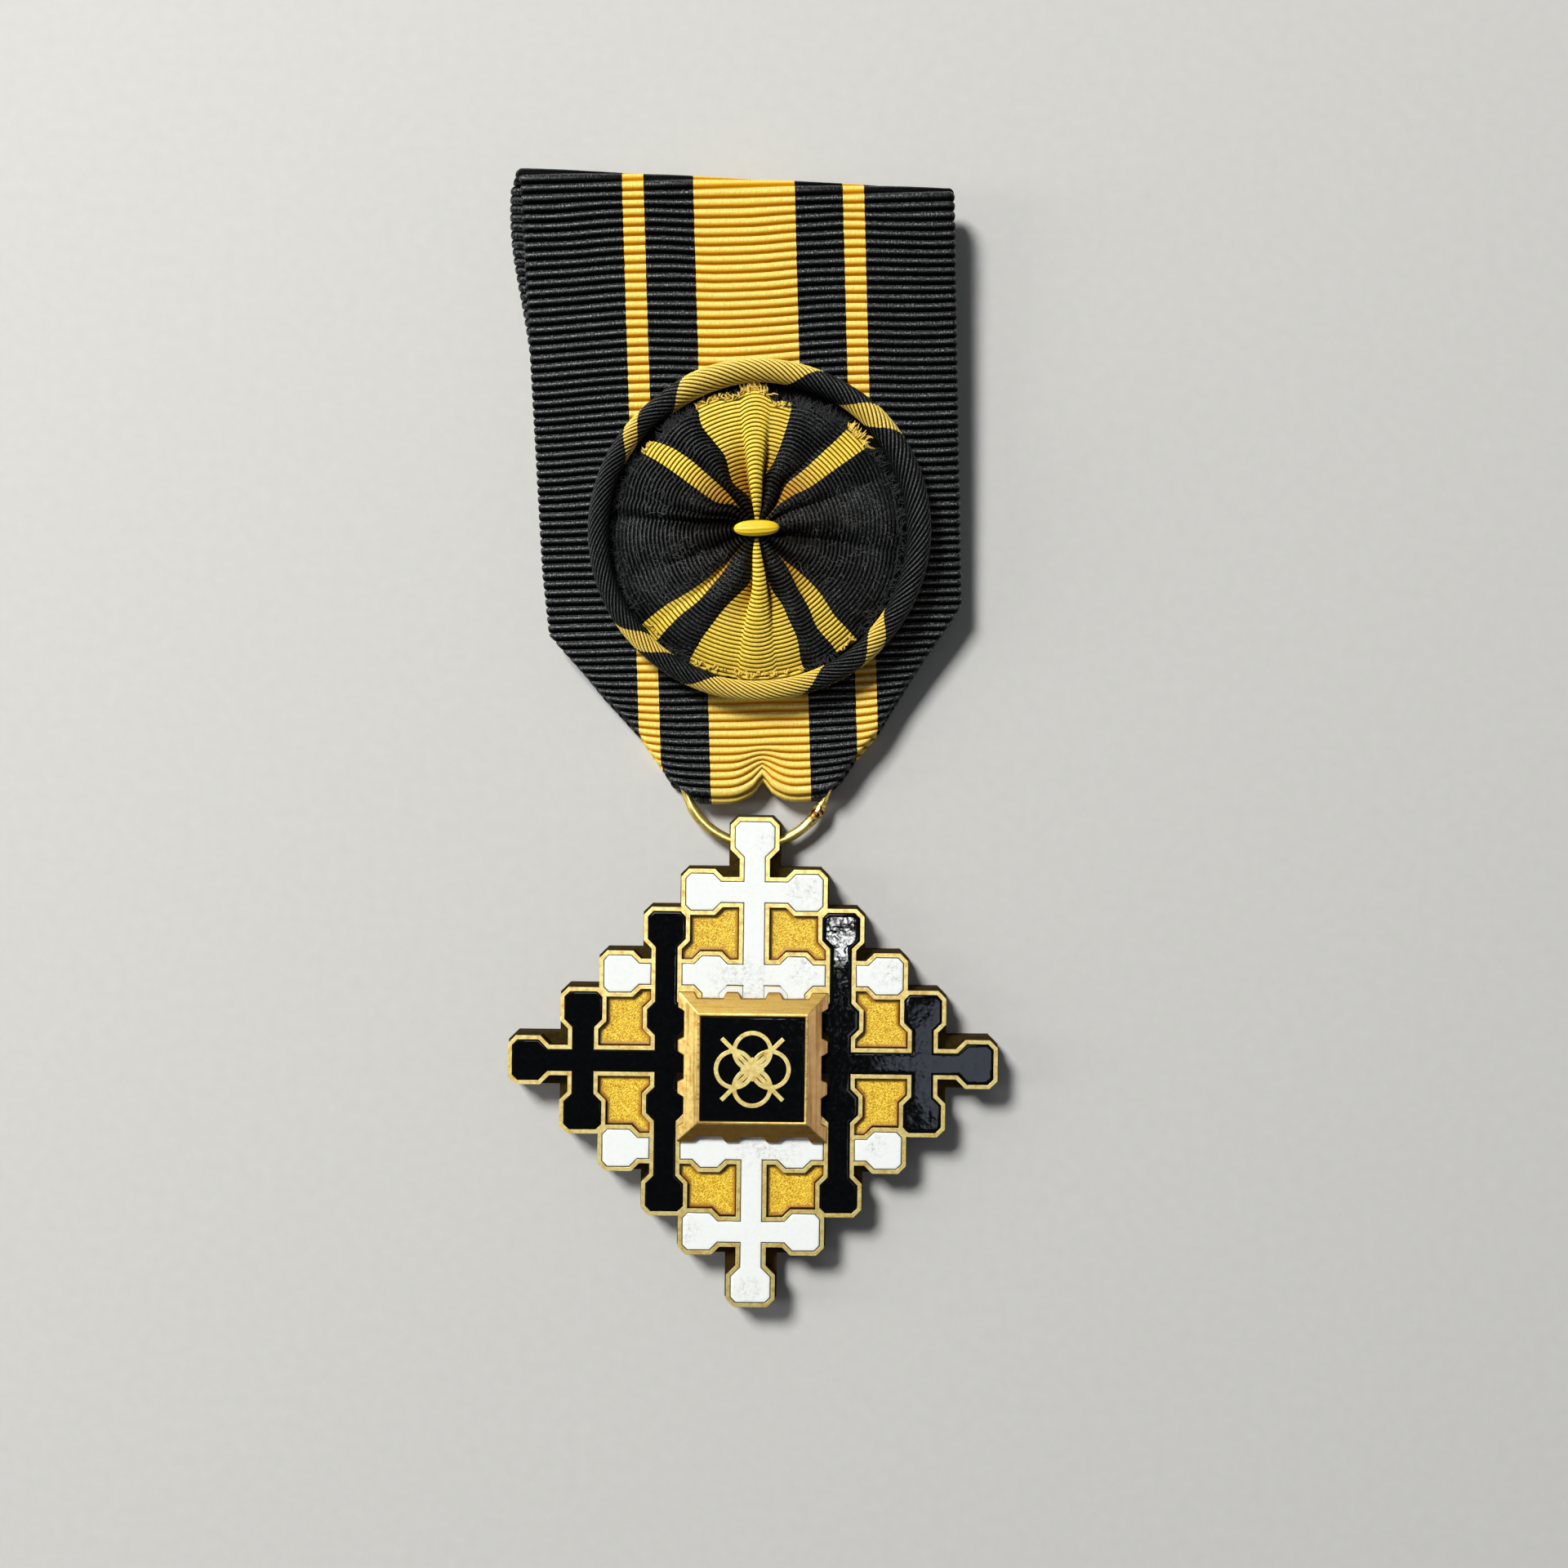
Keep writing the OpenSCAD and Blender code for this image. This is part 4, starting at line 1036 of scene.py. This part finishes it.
# Painted shade and soil near the knot: brownish off the two middle folds, fading out by 9 mm.
off_fold = smooth((np.abs(silk_place) - 0.8) / 0.5)[None, :]
soiled = off_fold * (1 - smooth((radius - 3.6) / 5.4))
for name, values in (("under", ends), ("tan", soiled)):
    layer = face.data.attributes.new(name, "FLOAT", "POINT")
    layer.data.foreach_set("value", values.reshape(-1).astype(np.float32))
print("face faces", len(face.data.polygons))

# %% [markdown]
# Where the silk is cut short, something black shows. We take it for black cotton over a stiff round card
# that the rosette is sewn on. The card's outline, given as distance and height in mm, is turned about its
# middle.

# %% Rosette's card
CARD_LINE = [(0.3, 0.0), (13.9, 0.0), (14.15, 0.2), (14.15, 0.75), (13.9, 0.95), (0.3, 0.95)]
card_cloth, tree, shader = finish_of("black cotton, glued over card", Roughness=0.9, Specular_IOR_Level=0.1)
place = add(tree, "TexCoord").outputs["Object"]
weave = add(tree, "TexNoise", {"Vector": place, "Scale": 4000.0, "Detail": 2.0})
colour = add(tree, "Mix", {0: weave, 6: "#040405", 7: "#0D0E10"}, data_type="RGBA")
connect(shader, {"Base Color": colour})
card_turn = np.linspace(0, 360, 97)[None, :-1]
line = np.array(CARD_LINE)
card_points = on_face(card_turn + 0 * line[:, :1], line[:, :1] + 0 * card_turn, line[:, 1:] + 0 * card_turn)
card_map = np.zeros((len(line), 97, 2))
skin("rosette_card", card_points, card_map, card_cloth, "rosette_silk", "rosette_face", round_columns=True)
print("card points", card_points.shape)

# %% [markdown]
# ## Rim
#
# The rim looks like a strip of the ribbon, cut on the bias and rolled round a cord. Its fine cords run
# slantwise round the roll like the strands of a rope, 140 in one turn, and its stripes cross them the other
# way, so each yellow part ends in a slanted point. The roll is fattest at the top and has soft corners.

# %% Rim's silk
STRANDS, TWIST, STRIPE_LEAN = 140, 15, 25
RIM_LINE = [  # angle, then the roll's outer edge and its half thickness in mm
    (0, 15.2, 0.98), (30, 15.15, 1.0), (45, 15.1, 0.98), (60, 14.85, 0.93), (90, 14.8, 0.96),
    (112, 14.7, 1.04), (127, 14.45, 0.95), (140, 14.55, 0.84), (180, 14.75, 0.82), (215, 14.85, 0.8),
    (250, 14.9, 0.8), (290, 14.95, 0.82), (310, 15.15, 0.9), (345, 15.2, 0.96), (360, 15.2, 0.98),
]
RIM_STRIPES = [
    ("black", 0), ("yellow", 36.3), ("black", 50.3), ("yellow", 72), ("black", 120), ("yellow", 138.5),
    ("black", 147), ("yellow", 219), ("black", 228.8), ("yellow", 249.5), ("black", 290), ("yellow", 312),
    ("black", 321.8)
]


def silk_at(angle):
    # Angles round the rim, from 0 to 360 degrees, are brought into the silk finish's reach of 20 either way.
    return angle / 10 - 18


rim_silk = silk(
    "bias silk, rolled", [(kind, silk_at(start)) for kind, start in RIM_STRIPES], ("#BE860C", "#FFEC7A"),
    "#3A2402", 17.0, 0.6, crown=(0.12, 0.5, 0.65, 0.9), lustre=0.7,
)
print("nodes in the rim's silk", len(rim_silk.node_tree.nodes))

# %% Rim
turn, roll = np.meshgrid(
    np.linspace(0, 360, STRANDS * 8 + 1), np.linspace(0, 2 * math.pi, 81), indexing="ij"
)
strand = STRANDS * turn / 360 + TWIST * roll / (2 * math.pi)
strand_swell = np.sqrt(np.clip(1 - (2 * (strand % 1.0) - 1) ** 2, 0, 1))
lean = turn - STRIPE_LEAN * (roll / (2 * math.pi) - 0.25)
line = np.array(RIM_LINE)
kernel = np.exp(-(np.arange(-8, 9) / 4.0) ** 2)


def rim_value(column):
    # The table's straight runs, with their corners rounded over some ten degrees.
    places = np.concatenate([line[:-1, 0] - 360, line[:, 0], line[1:, 0] + 360])
    values = np.concatenate([line[:-1, column], line[:, column], line[1:, column]])
    even = np.interp(np.arange(-20, 381), places, values)
    return np.interp(turn, np.arange(-20, 381), np.convolve(even, kernel / kernel.sum(), mode="same"))


fat = rim_value(2) + 0.03 * ripple(turn / 8, 0 * turn, 4.0, 31)
thick = fat + 0.26 * (strand_swell - 0.7)
ring_out = rim_value(1) - fat - 0.04 + 0.05 * ripple(turn / 10, 0 * turn, 6.0, 33)
rim_level = 1.9 + 0.08 * np.sin(np.radians(2 * turn + 40))
out = ring_out + thick * np.cos(roll)
rim_points = on_face(turn, out, rim_level + thick * np.sin(roll))[:-1, :-1]
rim_map = np.stack([silk_at(lean), strand], -1)
rim = skin(
    "rolled_rim", rim_points, rim_map, rim_silk, "rim_silk", "rosette_rim", round_rows=True,
    round_columns=True
)
print("rim faces", len(rim.data.polygons))

# %% [markdown]
# ## Knot
#
# Satin stitches side by side make the small bar at the middle: an oval with its threads along it.

# %% Satin finish
satin, tree, shader = finish_of("yellow satin stitch", Sheen_Weight=0.2, Sheen_Roughness=0.3)
flat = add(tree, "UVMap", uv_map="flat")
fine = add(tree, "Mapping", {"Vector": flat, "Scale": (0.6, 14, 1)})
yarn = add(tree, "TexNoise", {"Vector": fine, "Scale": 1.0, "Detail": 3.0})
colour = add(tree, "Mix", {0: yarn, 6: "#D9A404", 7: "#FFE81C"}, data_type="RGBA")
connect(shader, {"Base Color": colour})
gloss = add(tree, "MapRange", {"Value": yarn, "To Min": 0.5, "To Max": 0.28})
connect(shader, {"Roughness": gloss})
bump = add(tree, "Bump", {"Height": yarn, "Strength": 0.6, "Distance": 0.04 * MM})
connect(shader, {"Normal": bump})
print("nodes in the satin", len(tree.nodes))

# %% Knot
KNOT_HALF, KNOT_WIDE, KNOT_DEEP, KNOT_LEVEL, STITCHES = 2.0, 0.7, 0.5, 2.95, 11
bar, roll = np.meshgrid(np.linspace(-1, 1, 33), np.linspace(0, 2 * math.pi, 89), indexing="ij")
slim = np.sqrt(np.clip(1 - np.abs(bar) ** 2.6, 0.0004, 1))
stitch = 1 - 0.07 * np.abs(np.sin(STITCHES * roll / 2 + 0.4 * bar))
knot_side, knot_rise = KNOT_WIDE * slim * stitch * np.cos(roll), KNOT_DEEP * slim * stitch * np.sin(roll)
knot_points = rosette_to_row(np.stack([KNOT_HALF * bar, knot_side, KNOT_LEVEL + knot_rise], -1))[:, :-1]
knot_map = np.stack([KNOT_HALF * bar, roll], -1)
skin("satin_knot", knot_points, knot_map, satin, "yellow_thread", "rosette_knot", round_columns=True)
print("knot points", knot_points.shape)

# %% [markdown]
# ## Loose threads and lint
#
# The cut ends of the fan fray at the rim, and the gathers hold grey lint. All of these are thin bent tubes.
# A yellow one is 0.17 mm thick and stands for a small bundle of threads. A black one is 0.06 mm thick, and a
# lint fibre is 0.018 mm thick, near its real size.


# %% Fibres
SIDES, PARTS = 4, 5


def fibre_set(name, starts, finish, slot, half_thickness, seed):
    # Each start is a place, a heading, a length and a rise. The fibre wanders and thins towards its end.
    rng = random.Random(seed)
    points, faces = [], []
    for place, heading, length, rise in starts:
        spot = Vector(place)
        path = [spot.copy()]
        for _ in range(PARTS):
            heading += rng.uniform(-0.55, 0.55)
            ahead = Vector((math.cos(heading), math.sin(heading), rise * rng.uniform(-0.4, 1.0)))
            spot = spot + ahead * length / PARTS
            path.append(spot.copy())
        first = len(points)
        for index, spot in enumerate(path):
            ahead = (path[min(index + 1, PARTS)] - path[max(index - 1, 0)]).normalized()
            side = ahead.cross(Vector((0, 0, 1))).normalized()
            lift = side.cross(ahead)
            slim = half_thickness * (1.0 if index < 4 else 1.4 - 0.2 * index)
            for corner in range(SIDES):
                turned = math.pi / 2 * corner
                points.append((spot + (side * math.cos(turned) + lift * math.sin(turned)) * slim) * MM)
        for index in range(PARTS):
            for corner in range(SIDES):
                here = first + SIDES * index + corner
                other = first + SIDES * index + (corner + 1) % SIDES
                faces.append((here, other, other + SIDES, here + SIDES))
    mesh = bpy.data.meshes.new(name)
    mesh.from_pydata(points, [], faces)
    mesh.polygons.foreach_set("use_smooth", [True] * len(faces))
    return set_up(mesh, name, finish, slot)


def face_spot(turned, reach, above):
    # The point of the face's grid that is nearest to an angle and a distance from the middle.
    column = int(np.argmin(np.abs((rim_angle - turned + 180) % 360 - 180)))
    row = int(np.argmin(np.abs(radius[:, column] - reach)))
    return face_points[row, column] + np.array([0, 0, above])


def fibre_finish(name, scale, dark, light, **uniform):
    finish, tree, shader = finish_of(name, **uniform)
    place = add(tree, "TexCoord").outputs["Object"]
    yarn = add(tree, "TexNoise", {"Vector": place, "Scale": scale})
    colour = add(tree, "Mix", {0: yarn, 6: dark, 7: light}, data_type="RGBA")
    connect(shader, {"Base Color": colour})
    return finish


frayed = fibre_finish(
    "loose yellow silk thread", 6000.0, "#C8921A", "#FFE45E", Roughness=0.45, Sheen_Weight=0.2
)
fluff = fibre_finish("grey lint", 1500.0, "#4E504F", "#9A9C98", Roughness=0.9)
fuzz_silk = fibre_finish("loose black silk thread", 6000.0, "#0A0B0C", "#2A2D2F", Roughness=0.6)
print("fibre finishes", [finish.name for finish in (frayed, fluff, fuzz_silk)])

# %% Frayed ends
rng = random.Random(7)
starts = []
# From and to which angle, how many tufts, and their threads' length in mm.
TUFTS = [(75, 83, 5, 0.35), (86, 96, 9, 0.95), (97, 104, 4, 0.5), (105, 117, 7, 0.5), (38, 48, 6, 0.8),
         (243, 288, 15, 0.36), (140, 146, 3, 0.35), (220, 227, 2, 0.3), (304, 312, 3, 0.4)]
for low, high, tufts, length in TUFTS:
    for tuft in range(tufts):
        turned = low + (high - low) * (tuft + rng.uniform(0.1, 0.9)) / tufts
        reach = min(cut_end[int(round(turned + 9))], 12.7) + rng.uniform(-0.25, 0.0)
        heading = math.radians(turned + ROSETTE_TURN + 2.2) + rng.gauss(0, 0.6)
        for _ in range(rng.randint(3, 6)):
            aside, outward, above = rng.uniform(-0.9, 0.9), rng.uniform(-0.1, 0.1), rng.uniform(0.0, 0.1)
            spot = face_spot(turned + aside, reach + outward, above)
            starts.append((spot, heading + rng.gauss(0, 0.35), length * rng.uniform(0.5, 1.25), 0.45))
threads = fibre_set("frayed_threads", starts, frayed, "yellow_thread", 0.085, 5)
print("frayed threads", len(starts))

# %% Lint
starts = []
# From and to which angle and distance, and how many fibres.
LINT = [
    (176, 216, 5.0, 12.6, 130), (150, 173, 6.0, 12.6, 50), (-5, 30, 5.0, 12.4, 60),
    (318, 350, 4.5, 12.4, 80), (120, 136, 8.0, 12.4, 20)
]
for low, high, inner, outer, count in LINT:
    for _ in range(count):
        turned, reach = rng.uniform(low, high), rng.uniform(inner, outer)
        starts.append((face_spot(turned, reach, 0.04), rng.uniform(0, 6.28), rng.uniform(0.3, 1.0), 0.03))
lint = fibre_set("lint_fibres", starts, fluff, "rosette_silk", 0.009, 6)
print("lint fibres", len(starts))

# %% Black fuzz
starts = []
# From and to which angle, and how many threads.
FUZZ = [(49, 74, 160), (118, 138, 130), (147, 172, 120), (176, 216, 130), (-8, 36, 160), (315, 350, 120),
        (228, 242, 40), (289, 303, 40), (75, 86, 40), (97, 104, 30)]
for low, high, count in FUZZ:
    for _ in range(count):
        turned = rng.uniform(low, high)
        reach = cut_end[int(round(turned + 9))] + rng.uniform(-0.5, 0.35)
        heading = math.radians(turned) + rng.gauss(0, 1.0)
        starts.append((face_spot(turned, min(reach, 13.2), 0.02), heading, rng.uniform(0.4, 1.1), 0.25))
fuzz = fibre_set("fuzz_threads", starts, fuzz_silk, "rosette_silk", 0.03, 8)
print("fibre faces", sum(len(item.data.polygons) for item in (threads, lint, fuzz)))

# %% [markdown]
# ## Brooch pin
#
# The back is hidden in the photograph, so this is a guess: a plain brass pin, as such a ribbon often has.
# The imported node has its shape, so it only gets its metal.

# %% Pin
pin_brass = gilt_finish("pin brass, rolled", "#D8C58A", "#A8924E", "#6E5C2E", 0.3, 0.1)
nodes["brooch_pin"].data.materials.clear()
nodes["brooch_pin"].data.materials.append(pin_brass)
print("pin metal", pin_brass.name)
